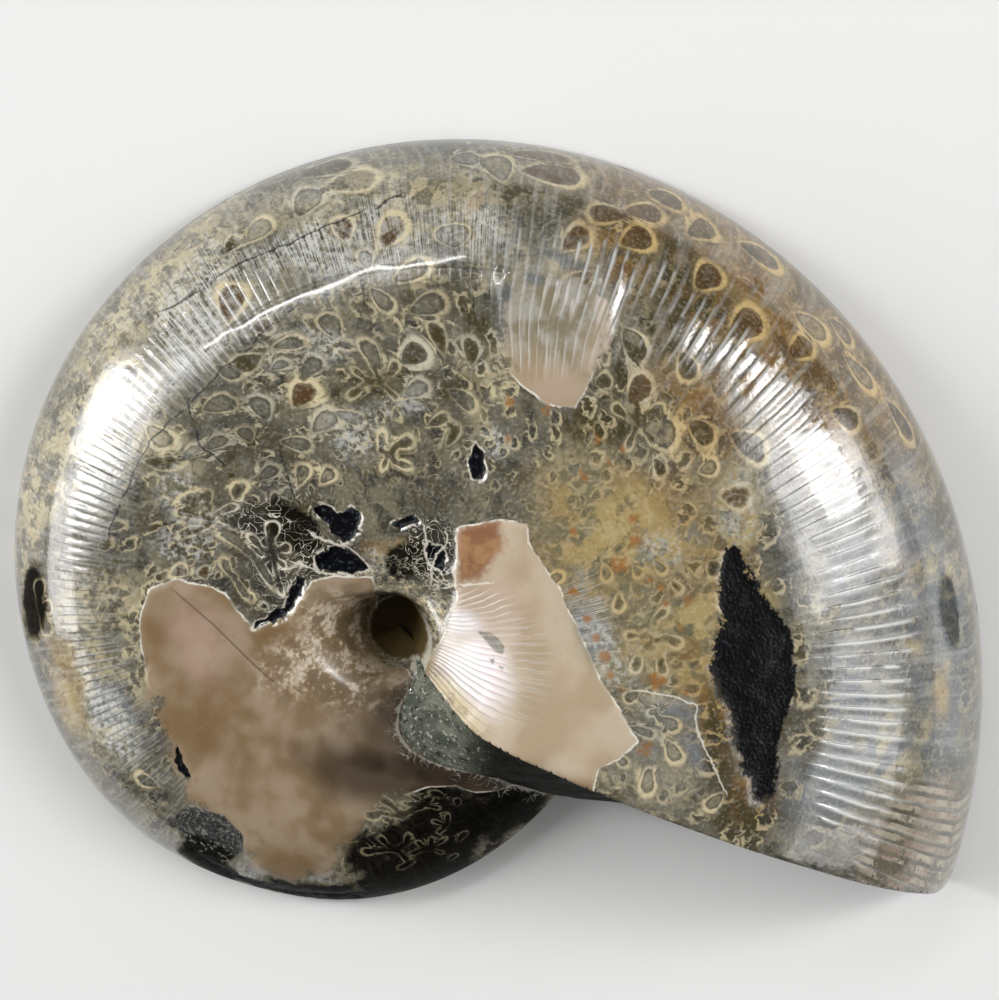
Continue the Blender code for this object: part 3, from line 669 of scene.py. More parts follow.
paint("share", np.broadcast_to(shares[None, :], (columns, rings)), 0.5)
paint("rib", ribPhase)
broadNoise = 0.27 * cloud(skin, 8.0, 41, 3)
blotchNoise = 0.27 * cloud(skin, 2.4, 43, 4)
dashNoise = 0.27 * cloud(np.stack([0.8 * ribPhase, 26.0 * shares[None, :] + 0 * x, 0 * x], -1), 1.0, 45, 2)
paint("broad", 0.5 + broadNoise, 0.5)
paint("blotch", 0.5 + blotchNoise, 0.5)
paint("dash", 0.5 + dashNoise, 0.5)
nearHole = 0.42 * ribPhase + 1.6 * broadNoise[:frontCount] + 0.5 * blotchNoise[:frontCount]
# growth lines, one to each whole number
wave = np.where(shares[None, :] < 0.46, nearHole, ribPhase + 0.3 * dashNoise)
half = grid["fillColumns"] // 2
wave = np.concatenate([wave, np.repeat(wave[-1:], half, 0),
                       np.repeat(wave[:1], columns - frontCount - half, 0)])
paint("ribWave", wave)
paint("ribHeight", ribDepth * (0.80 + 0.9 * dashNoise) * (0.15 + 0.10 * tip))
paint("grainDepth", 0.012 + 0.08 * smooth(darkDepth / 0.5) + 0.30 * smooth(crystalDepth / 0.5), 0.062)
paint("ribDepth", ribDepth)
paint("tip", tip)
paint("pearl", pearlDepth - 4 * smooth((y - 42) / 6) * (x > 13), -9)
paint("pearlEdge",
      np.where(y > 22, smooth((36 - y) / 2), np.maximum(smooth((y + 8) / 6), smooth((x - 1) / 3))))
paint("pearlBright", np.where(y > 25, 0.6, smooth((x - 3) / 3) * smooth((y + 19) / 3)))
paint("orange", depthInside(orange, x, y) + 0.3 * edgeWobble, -9)
paint("darkPatch", darkDepth, -9)
paint("hollow", hollowDepth, -9)
paint("crystal", crystalDepth, -9)
paint("chip", chipDepth + 0.08 * ragged, -9)
for lineName, side in (("crack", crackSide), ("paleSeam", paleSide), ("darkSeam", darkSide)):
    paint(lineName, side, 9)
    paint(lineName + "Near", np.abs(side), 9)
paint("fringe", (foot - along[:, None]) * shares[None, :] * coilR[:, None], 9)
paint("leaf", leafGap, 9)
paint("stem", stemGap, 9)
for markName, values in lobeMarks.items():
    paint(markName, values, 9 if markName in ("leafAhead", "leafAside") else 1)
paint("polishEdge", edgeOfPolish, 9)
paint("polishSpan", edgeSpan)
paint("around", np.broadcast_to(along[:, None], x.shape))
paint("outwards", np.broadcast_to(growth[None, :], x.shape))
for blobName, blobs in stainsAndPaintedLight.items():
    paint(blobName, blobDepth(blobs))
spotted = [smooth(1.5 - np.hypot(x - a, y - b) / (1.25 * r) + 0.5 * ragged) for a, b, r in specks]
paint("speck", np.max(spotted, axis=0))
paint("shell", np.ones_like(x), 0)
print("ammonite: mesh and its marks made")

for face in ammonite.data.polygons:
    face.use_smooth = True
sawnFaces = np.array([all(vertexRing[v] >= rings for v in f.vertices) for f in ammonite.data.polygons])
ammonite.data.polygons.foreach_set("material_index", sawnFaces.astype(np.int32))


class Wire:   # one output of a material's nodes: sums and products on it add their Math nodes
    def __init__(self, tree, socket=None):
        self.tree, self.socket = tree, socket

    def plug(self, target, value):
        if isinstance(value, Wire):
            self.tree.links.new(value.socket, target)
        elif isinstance(value, tuple) and len(value) == 3 and len(target.default_value) == 4:
            target.default_value = (*value, 1)
        else:
            target.default_value = value

    def node(self, kind, sockets=None, output=0, **settings):
        made = self.tree.nodes.new(kind)
        for name, value in settings.items():
            setattr(made, name, value)
        for name, value in (sockets or {}).items():
            self.plug(made.inputs[name], value)
        return Wire(self.tree, made.outputs[output])

    def maths(self, operation, a, b=0.0, clamp=False):
        return self.node("ShaderNodeMath", {0: a, 1: b}, operation=operation, use_clamp=clamp)

    def __add__(self, other):
        return self.maths("ADD", self, other)

    def __radd__(self, other):
        return self.maths("ADD", other, self)

    def __sub__(self, other):
        return self.maths("SUBTRACT", self, other)

    def __rsub__(self, other):
        return self.maths("SUBTRACT", other, self)

    def __mul__(self, other):
        return self.maths("MULTIPLY", self, other)

    def __rmul__(self, other):
        return self.maths("MULTIPLY", other, self)

    def __truediv__(self, other):
        return self.maths("DIVIDE", self, other)

    def __rtruediv__(self, other):
        return self.maths("DIVIDE", other, self)

    def __pow__(self, other):
        return self.maths("POWER", self, other)

    def __neg__(self):
        return self.maths("MULTIPLY", self, -1.0)

    def __abs__(self):
        return self.maths("ABSOLUTE", self)

    def held(self):
        return self.maths("ADD", self, 0.0, clamp=True)

    def fraction(self):
        return self.maths("FRACT", self)

    def rising(self, low, high):   # 0 below low, 1 above high, smooth between; falls if low is the larger
        if low > high:
            return 1 - self.rising(high, low)
        return self.node("ShaderNodeMapRange", {0: self, 1: low, 2: high}, interpolation_type="SMOOTHSTEP")

    def mark(self, name):
        return self.node("ShaderNodeAttribute", output="Fac", attribute_name=name)

    def line(self, name, half, soft, wobble):   # 1 on a painted line, from its signed distance
        close = self.mark(name + "Near").rising(1.2, 0.8)
        return abs(self.mark(name) + wobble).rising(half + soft, half) * close

    def blend(self, share, under, over):
        return self.node("ShaderNodeMix", {0: share, 6: under, 7: over}, output=2, data_type="RGBA")

    def vector(self, a, b, c=0.0):
        return self.node("ShaderNodeCombineXYZ", {0: a, 1: b, 2: c})

    def fleck(self, where, scale, detail=3.0, rough=0.55, twist=0.0):   # noise about 0.3 to 0.7
        return self.node("ShaderNodeTexNoise", {"Vector": where, "Scale": scale, "Detail": detail,
                                                "Roughness": rough, "Distortion": twist})

    def also(self, output):   # another output of the same node
        return Wire(self.tree, self.socket.node.outputs[output])


def srgb(red, green, blue):   # a colour as seen on a screen, 0 to 255
    return tuple((v / 255) ** 2.2 for v in (red, green, blue))


def newMaterial(name):
    material = bpy.data.materials.new(name)
    material.use_nodes = True
    shader = material.node_tree.nodes["Principled BSDF"]
    return material, shader, Wire(material.node_tree)


tint = {
    "grey": srgb(92, 89, 78), "darkGrey": srgb(48, 45, 36), "paleGrey": srgb(150, 149, 140),
    "slate": srgb(82, 80, 70), "drab": srgb(112, 106, 86), "cream": srgb(206, 192, 154),
    "tan": srgb(156, 134, 94), "ochre": srgb(124, 90, 36), "olive": srgb(62, 54, 22),
    "brown": srgb(80, 56, 22), "umber": srgb(84, 64, 32), "glass": srgb(112, 118, 122),
    # amberShade is the colour of painted shade under the lip
    "frost": srgb(196, 196, 190), "pearlRose": srgb(184, 156, 142), "amberShade": srgb(62, 45, 27),
    "black": srgb(12, 13, 16), "night": srgb(30, 28, 20), "rust": srgb(150, 98, 42),
    "line": srgb(228, 222, 206),
}


def sharedFlecks(w):   # noises and marks that several layers of the shell use
    here = w.node("ShaderNodeTexCoord", output="Object")
    perMm = 1000.0
    broad = w.mark("broad")
    fine = w.fleck(here, perMm / 0.7, 2, 0.6)
    medium = w.mark("blotch") + (fine - 0.5) * 0.35
    curly = w.fleck(here, perMm / 1.7, 0, 0.5, 2.0)
    plain = w.mark("blotch")
    grain = w.fleck(here, perMm / 0.45, 0)
    rib, share = w.mark("rib"), w.mark("share")
    streak = w.fleck(w.vector(rib * 1.7, share * 9.0, broad * 2.0), 1.0, 1, 0.6)
    dash = w.mark("dash")
    striation = w.fleck(w.vector(rib * 7.0, share * 11.0), 1.0, 1, 0.6)
    soft = w.mark("quiet")
    saw = w.mark("ribWave").fraction()
    return SimpleNamespace(here=here, broad=broad, fine=fine, medium=medium, curly=curly, plain=plain,
                           grain=grain, rib=rib, share=share, streak=streak, dash=dash, striation=striation,
                           soft=soft, saw=saw)


def stoneGround(w, flecks):   # bare stone: grey, cream, ochre, olive, frosty and glassy stretches
    broad, fine, medium, curly = flecks.broad, flecks.fine, flecks.medium, flecks.curly
    plain, share, streak, striation = flecks.plain, flecks.share, flecks.streak, flecks.striation
    soft = flecks.soft
    base = w.blend(broad.rising(0.42, 0.62), tint["grey"], tint["drab"])
    base = w.blend(medium.rising(0.46, 0.62) * 0.85, base, tint["darkGrey"])
    base = w.blend(broad.rising(0.50, 0.40) * medium.rising(0.54, 0.44) * 0.7, base, srgb(70, 62, 36))
    base = w.blend(fine.rising(0.50, 0.68) * 0.20, base, tint["paleGrey"])
    base = w.blend(w.mark("cream") * (medium * 0.7 + curly * 0.3).rising(0.42, 0.58) * 0.7, base,
                   tint["cream"])
    ochreHue = w.blend(medium.rising(0.46, 0.60) * 0.55, tint["ochre"], tint["tan"])
    ochreHue = w.blend((medium * 0.5 + broad * 0.5).rising(0.50, 0.40) * 0.8, ochreHue, tint["umber"])
    ochreHue = w.blend(medium.rising(0.54, 0.64) * 0.6, ochreHue, srgb(90, 86, 64))
    ochreHue = w.blend((streak * 0.6 + plain * 0.4).rising(0.49, 0.56) * w.mark("ribDepth") * 0.85, ochreHue,
                       srgb(66, 44, 22))
    base = w.blend(w.mark("ochre") * 0.85, base, ochreHue)
    steelHue = w.blend(streak.rising(0.42, 0.60), srgb(74, 80, 90), srgb(128, 132, 136))
    base = w.blend(w.mark("steel") * 0.8, base, steelHue)
    centreHue = w.blend(medium.rising(0.42, 0.58), srgb(172, 152, 102), srgb(104, 102, 78))
    centreHue = w.blend(broad.rising(0.46, 0.38) * medium.rising(0.54, 0.46) * 0.8, centreHue,
                        srgb(134, 136, 128))
    centreHue = w.blend(broad.rising(0.54, 0.62) * medium.rising(0.50, 0.58) * 0.7, centreHue,
                        srgb(146, 112, 52))
    centreHue = w.blend(curly.rising(0.53, 0.63) * 0.5, centreHue, srgb(196, 178, 136))
    base = w.blend(soft * 0.85, base, centreHue)
    mistHue = w.blend(medium.rising(0.40, 0.60), srgb(160, 152, 132), srgb(116, 116, 108))
    base = w.blend(w.mark("mist") * 0.9, base, mistHue)
    base = w.blend(w.mark("glass") * 0.8, base,
                   w.blend(broad.rising(0.46, 0.64) * plain.rising(0.40, 0.62) * 0.85, tint["glass"],
                           tint["cream"]))
    base = w.blend((w.mark("tan") * 0.85).held(), base,
                   w.blend(medium.rising(0.4, 0.6), srgb(176, 154, 110), srgb(140, 116, 80)))
    base = w.blend(w.mark("olive") * medium.rising(0.34, 0.50) * 0.95, base, tint["olive"])
    frosting = (w.mark("frost") * (fine * 0.7 + plain * 0.3).rising(0.40, 0.62)).held()
    base = w.blend(frosting * (0.85 - 0.35 * soft), base, tint["frost"])
    brushed = w.mark("brush")
    striae = streak.rising(0.50, 0.64) * share.rising(0.6, 0.8) * 0.25
    striae = (striae + striation.rising(0.48, 0.60) * brushed).held()
    base = w.blend(striae * 0.8, base, tint["frost"])
    base = w.blend(striation.rising(0.46, 0.34) * (brushed + 0.15).held() * 0.6, base, tint["darkGrey"])
    return base, frosting


# faint leaflets between the drawn ones: strength, outline, heart and a die
def smallLeaflets(w, flecks, near):
    fine, medium, curly, share = flecks.fine, flecks.medium, flecks.curly, flecks.share
    soft = flecks.soft
    small = w.vector(w.mark("around") * 13.0 + medium * 0.6, w.mark("outwards") * 13.0 + curly * 0.6)
    cell = w.node("ShaderNodeTexVoronoi", {"Vector": small, "Scale": 1.0}, output="Position",
                  voronoi_dimensions="2D")
    dice = w.node("ShaderNodeSeparateColor", {0: cell.also("Color")})
    offset = w.node("ShaderNodeVectorMath", {0: small, 1: cell}, operation="SUBTRACT")
    offset = w.node("ShaderNodeSeparateXYZ", {0: offset})
    turn = (dice - 0.5) * 3.4 + math.pi
    cos, sin = w.maths("COSINE", turn), w.maths("SINE", turn)
    leafletAhead, leafletAside = offset * cos + offset.also(1) * sin, offset.also(1) * cos - offset * sin
    leaflet = ((leafletAhead / 0.40) ** 2.0 + (leafletAside / (0.24 + leafletAhead * 0.2)) ** 2.0) ** 0.5
    leaflet = leaflet + (fine - 0.5) * 0.5
    faint = dice.also(1).rising(0.10, 0.45) * near.rising(0.2, 0.7) * (1 - soft * 0.6)
    faint = faint * medium.rising(0.36, 0.48) * (0.4 + 0.6 * share.rising(0.80, 0.66))
    faint = faint * (0.15 + 0.85 * share.rising(0.28, 0.50)) * (1 - w.mark("mist"))
    leafletRing = leaflet.rising(0.60, 1.0) * leaflet.rising(1.55, 1.05) * leafletAhead.rising(-0.55, -0.05)
    leafletHeart = leaflet.rising(1.0, 0.6)
    return faint, leafletRing, leafletHeart, dice


def sutureLeaves(w, flecks, base):   # the drawn leaves: outlines, haloes, hearts and fingers, and blackish stone with painted shade
    fine, medium, curly, grain = flecks.fine, flecks.medium, flecks.curly, flecks.grain
    soft = flecks.soft
    tone, comb = w.mark("leafTone"), w.mark("leafComb")
    glow = (w.mark("leafGlow") + w.mark("ochre") * 0.4).held()
    ahead, aside, near = w.mark("leafAhead"), w.mark("leafAside"), w.mark("leaf")
    taper = w.maths("MINIMUM", w.maths("MAXIMUM", ahead * 0.36 + 0.84, 0.3), 1.2)
    leaf = (((ahead * ahead + (aside / taper) ** 2.0) ** 0.5) - 1.0) * w.mark("leafWide")
    leaf = w.maths("MAXIMUM", w.maths("MINIMUM", leaf, near + 0.3), near - 0.3)
    leaf = w.node("ShaderNodeMath", {0: leaf, 1: w.mark("stem"), 2: 0.3}, operation="SMOOTH_MIN")
    leaf = leaf + (curly - 0.5) * 0.20 + (fine - 0.5) * 0.10 + (medium - 0.5) * 0.16
    head = ahead.rising(-1.2, 0.1) * 0.8 + 0.2
    inside = leaf.rising(0.03, -0.12) * (1 - soft) + leaf.rising(0.35, -0.35) * soft
    far = leaf / (0.30 + 0.55 * w.mark("leafWide"))
    ring = leaf.rising(-0.18, 0.04) * (far / (0.6 + 0.6 * glow)).rising(0.55, 0.12) * head * (1 - soft * 0.4)
    ring = ring * (0.55 + 0.45 * medium.rising(0.38, 0.56))
    bands = w.maths("SINE", far * 8.0).rising(-0.9, 0.6) * 0.45 + 0.55
    halo = far.rising(1.25, 0.10) * glow * (0.30 + 0.70 * head) * bands * medium.rising(0.34, 0.50)
    sweep = w.node("ShaderNodeMath", {0: aside, 1: ahead + 1.0}, operation="ARCTAN2")
    spread = (aside * aside + (ahead + 1.0) ** 2.0) ** 0.5
    fingers = w.maths("SINE", sweep * 11.0 + fine * 5.0).rising(-0.1, 0.7)
    fringeOf = spread.rising(0.7, 1.1) * spread.rising(2.7, 1.6) * leaf.rising(0.10, 0.35)
    fringeOf = fringeOf * near.rising(1.5, 0.9)
    fingerMask = fringeOf * comb.rising(0.45, 0.60) * (1 - soft * 0.6)
    shadow = leaf.rising(1.5, 0.5) * leaf.rising(0.1, 0.5)
    faint, leafletRing, leafletHeart, dice = smallLeaflets(w, flecks, near)

    heart = w.blend(tone.rising(0.18, 0.24), tint["paleGrey"], tint["slate"])
    heart = w.blend(tone.rising(0.42, 0.46), heart, tint["olive"])
    heart = w.blend(tone.rising(0.60, 0.66), heart, tint["brown"])
    heart = w.blend(tone.rising(0.82, 0.86), heart, tint["night"])
    heart = w.blend(medium.rising(0.42, 0.58) * 0.55, heart, base)
    paleHue = w.blend(comb.rising(0.35, 0.75) * 0.7, tint["cream"], srgb(186, 182, 166))
    paleHue = w.blend(w.mark("ochre") * 0.8, paleHue, srgb(192, 160, 98))
    paleHue = w.blend(w.mark("lace") * 0.8, paleHue, tint["line"])
    faintRing = w.blend(0.3, paleHue, base)
    colour = w.blend(shadow * 0.35, base, tint["darkGrey"])
    leafletHue = w.blend(dice.also(2).rising(0.45, 0.55), tint["darkGrey"], tint["olive"])
    colour = w.blend((leafletHeart * faint * 0.65).held(), colour, leafletHue)
    colour = w.blend((leafletRing * faint * 0.70).held(), colour, paleHue)
    colour = w.blend(fingerMask * 0.45, colour, tint["olive"])
    colour = w.blend((fingerMask * fingers * 0.75).held(), colour, paleHue)
    colour = w.blend((halo * (0.9 - 0.35 * w.mark("ochre"))).held(), colour, paleHue)
    core = leaf.rising(0.05, -0.60) * tone.rising(0.40, 0.50)
    colour = w.blend((inside * (0.50 + 0.45 * core)).held(), colour, heart)
    colour = w.blend((inside * leaf.rising(-0.7, -0.05) * tone.rising(0.5, 0.4) * 0.45).held(), colour,
                     tint["darkGrey"])
    ringStrength = (ring * (0.70 + 0.3 * glow + 0.3 * w.mark("lace"))).held()
    ringStrength = ringStrength * (1 - 0.35 * w.mark("ochre") * w.mark("ribDepth"))
    colour = w.blend(ringStrength, colour, w.blend(glow.rising(0.1, 0.6), faintRing, paleHue))
    colour = w.blend(grain.rising(0.58, 0.74) * 0.14 * (1 - soft * 0.6), colour, tint["frost"])
    colour = w.blend(grain.rising(0.42, 0.26) * 0.20 * (1 - soft * 0.6), colour, tint["night"])
    # blackish stone, and painted shade on the early whorl's underside and under the lip, near black
    dark = (w.mark("dark") + (medium - 0.5) * 1.0).rising(0.25, 0.70) * w.mark("dark").rising(0.02, 0.2)
    night = dark * (1 - ring * (0.42 + 0.4 * w.mark("lace"))) * (1 - 0.45 * w.mark("glass"))
    colour = w.blend(night * 0.95, colour, srgb(12, 11, 8))
    colour = w.blend((w.mark("speck") + (fine - 0.5) * 2.0).rising(0.30, 1.1) * 0.8, colour, tint["rust"])
    lace = w.mark("lace") * curly.rising(0.470, 0.490) * curly.rising(0.530, 0.510)
    laceGround = w.blend(medium.rising(0.44, 0.58), tint["night"], tint["darkGrey"])
    colour = w.blend(w.mark("lace") * 0.88 * (1 - inside * 0.5) * (1 - ring), colour, laceGround)
    colour = w.blend(lace * 0.88 * (1 - inside), colour, tint["line"])
    return colour


def pearlLayer(w, flecks, colour):   # pearly shell that is left on the stone, and its pale rim
    broad, fine, medium, plain = flecks.broad, flecks.fine, flecks.medium, flecks.plain
    streak, saw = flecks.streak, flecks.saw
    pearlDepth = w.mark("pearl") + (fine - 0.5) * 0.25
    crisp = w.mark("pearlEdge")
    pearlMask = crisp * pearlDepth.rising(-0.05, 0.05)
    frayed = (1 - crisp) * (pearlDepth + (medium - 0.5) * 5).rising(-0.6, 1.4)
    pearlMask = pearlMask + frayed
    pearlHue = w.blend(broad.rising(0.36, 0.64), srgb(123, 99, 67), srgb(150, 129, 102))
    pearlHue = w.blend((plain * 0.5 + broad * 0.5).rising(0.47, 0.62) * 0.35, pearlHue, srgb(172, 154, 134))
    pearlHue = w.blend(plain.rising(0.48, 0.36) * 0.25, pearlHue, srgb(112, 90, 62))
    bright = w.mark("pearlBright")
    pearlHue = w.blend(bright, pearlHue,
                       w.blend(broad.rising(0.40, 0.60), srgb(190, 172, 148), srgb(172, 152, 124)))
    pearlHue = w.blend(fine.rising(0.5, 0.7) * 0.15, pearlHue, tint["tan"])
    pearlHue = w.blend(w.mark("rose") * 0.4, pearlHue, tint["pearlRose"])
    # painted shade under the lip's overhang, deep brown
    pearlHue = w.blend(w.mark("amberShade") * 0.85, pearlHue, tint["amberShade"])
    mottleHue = w.blend(medium.rising(0.40, 0.60), srgb(122, 100, 70), srgb(190, 170, 142))
    mottleHue = w.blend((fine * 0.6 + medium * 0.4).rising(0.51, 0.60) * 0.75, mottleHue, srgb(222, 212, 196))
    mottleHue = w.blend(medium.rising(0.43, 0.34) * 0.8, mottleHue, srgb(96, 98, 88))
    mottleHue = w.blend(fine.rising(0.42, 0.34) * medium.rising(0.44, 0.52) * 0.7, mottleHue, tint["umber"])
    pearlHue = w.blend(w.mark("mottle") * (0.4 + plain.rising(0.36, 0.50) * 0.45), pearlHue, mottleHue)
    orangeHue = w.blend(medium.rising(0.42, 0.62), srgb(126, 76, 34), srgb(156, 110, 66))
    pearlHue = w.blend((w.mark("orange") + (medium - 0.5) * 4).rising(-0.9, 0.7) * 0.9, pearlHue, orangeHue)
    pearlHue = w.blend(w.mark("glass") * 0.8, pearlHue,
                       w.blend(medium.rising(0.4, 0.6), srgb(110, 104, 80), tint["paleGrey"]))
    # painted highlight on the pearl beside the hole, white to pink
    highlightHue = w.blend(saw.rising(0.2, 0.9), srgb(244, 236, 238),
                    w.blend(broad.rising(0.45, 0.55), srgb(214, 190, 200), srgb(204, 198, 190)))
    pearlHue = w.blend((w.mark("pearlHighlight") * (0.8 + 0.4 * medium)).held(), pearlHue, highlightHue)
    pearlHue = w.blend(streak.rising(0.52, 0.66) * w.mark("ribDepth") * 0.5, pearlHue, srgb(232, 222, 214))
    pearlHue = w.blend(w.mark("tan") * 0.85, pearlHue,
                       w.blend(medium.rising(0.42, 0.58), srgb(150, 124, 76), srgb(196, 178, 136)))
    # blackish stone and painted shade over the pearl, deep brown
    pearlHue = w.blend(w.mark("dark") * 0.75, pearlHue,
                       w.blend(medium.rising(0.4, 0.6), srgb(34, 26, 18), srgb(54, 40, 26)))
    colour = w.blend(pearlMask, colour, pearlHue)
    # pale line along the pearl's crisp edge: a painted highlight where the ledge's edge catches the light
    pearlRimGlint = pearlDepth.rising(-0.24, -0.06) * pearlDepth.rising(0.14, 0.0) * crisp
    colour = w.blend(pearlRimGlint * (0.25 + medium.rising(0.42, 0.56) * 0.7), colour, tint["line"])
    colour = w.blend(w.mark("chip").rising(-0.12, 0.08) * 0.85, colour,
                     w.blend(fine.rising(0.4, 0.6), srgb(70, 66, 50), srgb(124, 120, 98)))
    return colour, pearlMask


def growthLines(w, flecks, colour):
    fine, medium, rib, dash = flecks.fine, flecks.medium, flecks.rib, flecks.dash
    saw = flecks.saw
    tip = w.mark("tip")
    # pale rib lines, partly painted highlight where each rib's face catches the light
    ribLine = saw.rising(0.55, 0.80) * saw.rising(0.99, 0.90)
    ribLineAndGlint = ribLine * dash.rising(0.38, 0.46)
    ribDepth = w.mark("ribDepth")
    colour = w.blend((ribLineAndGlint * ribDepth * 0.62).held(), colour, tint["frost"])
    # painted shadow along each rib's steep side
    colour = w.blend((saw.rising(0.84, 0.95) * ribDepth * 0.25).held(), colour, tint["darkGrey"])
    tipHue = w.blend(medium.rising(0.42, 0.58), srgb(186, 176, 154), srgb(150, 130, 114))
    tipSaw = (rib * 1.45 + (medium - 0.5) * 0.5).fraction()
    tipRib = tipSaw.rising(0.20, 0.44) * tipSaw.rising(0.98, 0.84)
    tipRib = tipRib * (dash * 0.6 + fine * 0.4).rising(0.40, 0.48)
    colour = w.blend(tip * 0.62, colour, w.blend(medium.rising(0.4, 0.6), srgb(78, 72, 64), tint["drab"]))
    colour = w.blend((tip * tipRib * 0.75).held(), colour, tipHue)
    return colour


def breaks(w, flecks, colour):   # the crystal patch, the black patch, crevices, cracks and seams
    fine, medium, curly, share = flecks.fine, flecks.medium, flecks.curly, flecks.share
    crystalMask = (w.mark("crystal") + (fine - 0.5)).rising(-0.2, 0.3)
    colour = w.blend(crystalMask, colour,
                     w.blend(fine.rising(0.54, 0.66), srgb(24, 23, 20), srgb(120, 118, 108)))
    darkEdge = w.mark("darkPatch")
    darkMask = (darkEdge + (fine - 0.5) * 1.2 + (medium - 0.5) * 2.0).rising(-0.2, 0.3)
    darkMask = darkMask * (1 - 0.75 * w.mark("olive") * medium.rising(0.40, 0.52))
    colour = w.blend(darkMask, colour,
                     w.blend(fine.rising(0.60, 0.72) * 0.55, srgb(5, 6, 8), srgb(58, 64, 72)))
    hollowDepth = w.mark("hollow") + (fine - 0.5) * 0.3
    hollowRim = hollowDepth.rising(-0.45, -0.18) * hollowDepth.rising(0.02, -0.12) * share.rising(0.62, 0.5)
    hollowMask = hollowDepth.rising(-0.08, 0.12)
    colour = w.blend(hollowMask, colour,
                     w.blend(fine.rising(0.54, 0.70) * 0.6, tint["black"], srgb(70, 76, 88)))
    colour = w.blend(hollowRim * curly.rising(0.47, 0.55) * 0.7, colour, tint["line"])
    crackMask = w.line("crack", 0.02, 0.20, (fine - 0.5) * 0.5) * medium.rising(0.36, 0.46)
    colour = w.blend(crackMask * 0.85, colour, srgb(26, 28, 32))
    colour = w.blend(w.line("paleSeam", 0.02, 0.20, (fine - 0.5) * 0.4) * 0.75, colour, tint["line"])
    colour = w.blend(w.line("darkSeam", 0.05, 0.15, 0.0) * 0.6, colour, tint["brown"])
    fringe = (w.mark("fringe") + (fine - 0.5) * 2.0).rising(0.9, 0.3)
    hairs = (w.mark("fringe") + (medium - 0.5) * 6.0).rising(2.6, 1.0)
    fringe = fringe + hairs * curly.rising(0.46, 0.49) * curly.rising(0.54, 0.51)
    colour = w.blend((fringe * share.rising(0.12, 0.2) * 0.75).held(), colour, srgb(186, 182, 168))
    return colour, crystalMask, darkMask, hollowMask


# the stone fill behind the lip, and the hole at the coil's middle
def fillAndHole(w, flecks, colour, pearlMask):
    here, broad, fine, medium = flecks.here, flecks.broad, flecks.fine, flecks.medium
    curly, grain = flecks.curly, flecks.grain
    stonePart = w.mark("shell").rising(0.6, 0.4)
    stoneHue = w.blend(medium.rising(0.4, 0.65), srgb(78, 82, 72), srgb(122, 124, 112))
    stoneHue = w.blend(grain.rising(0.68, 0.76) * 0.8, stoneHue, srgb(170, 172, 162))
    stoneHue = w.blend(fine.rising(0.40, 0.32) * 0.8, stoneHue, tint["night"])
    stoneHue = w.blend(curly.rising(0.48, 0.50) * curly.rising(0.53, 0.51) * broad.rising(0.46, 0.54) * 0.5,
                       stoneHue, tint["paleGrey"])
    placeX = w.node("ShaderNodeSeparateXYZ", {0: here})
    # painted shadow on the stone fill under the lip's overhang, near black
    shadowUnderLip = (placeX + (medium - 0.5) * 0.006).rising(0.008, 0.0145)
    stoneHue = w.blend(shadowUnderLip * 0.93, stoneHue, srgb(15, 14, 11))
    fromHole = w.node("ShaderNodeVectorMath", {0: here, 1: (0.0013, -0.0013, 0.0)}, operation="SUBTRACT")
    fromHole = w.node("ShaderNodeVectorMath", {0: fromHole, 1: (1000.0, 1000.0, 0.0)}, operation="MULTIPLY")
    fromHole = w.node("ShaderNodeVectorMath", {0: fromHole}, output="Value", operation="LENGTH")
    rimOfHole = fromHole + (fine - 0.5) * 0.5
    # painted shade on the pearl round the hole, deep brown
    shadeNearHole = (fromHole + (medium - 0.5) * 5.0).rising(8.0, 4.5) * pearlMask
    colour = w.blend(shadeNearHole * 0.25, colour, srgb(62, 46, 30))
    colour = w.blend(stonePart, colour, stoneHue)
    paleRim = rimOfHole.rising(4.7, 4.3) * rimOfHole.rising(3.8, 4.1) * placeX.rising(0.0025, 0.005)
    colour = w.blend(paleRim * 0.7, colour, tint["line"])
    # deep brown disc in the hole, centred off the axis: partly the matrix's colour, partly painted shade
    hole = rimOfHole.rising(4.1, 3.6)
    colour = w.blend(hole * 0.97, colour, srgb(74, 62, 38))
    return colour, stonePart, hole


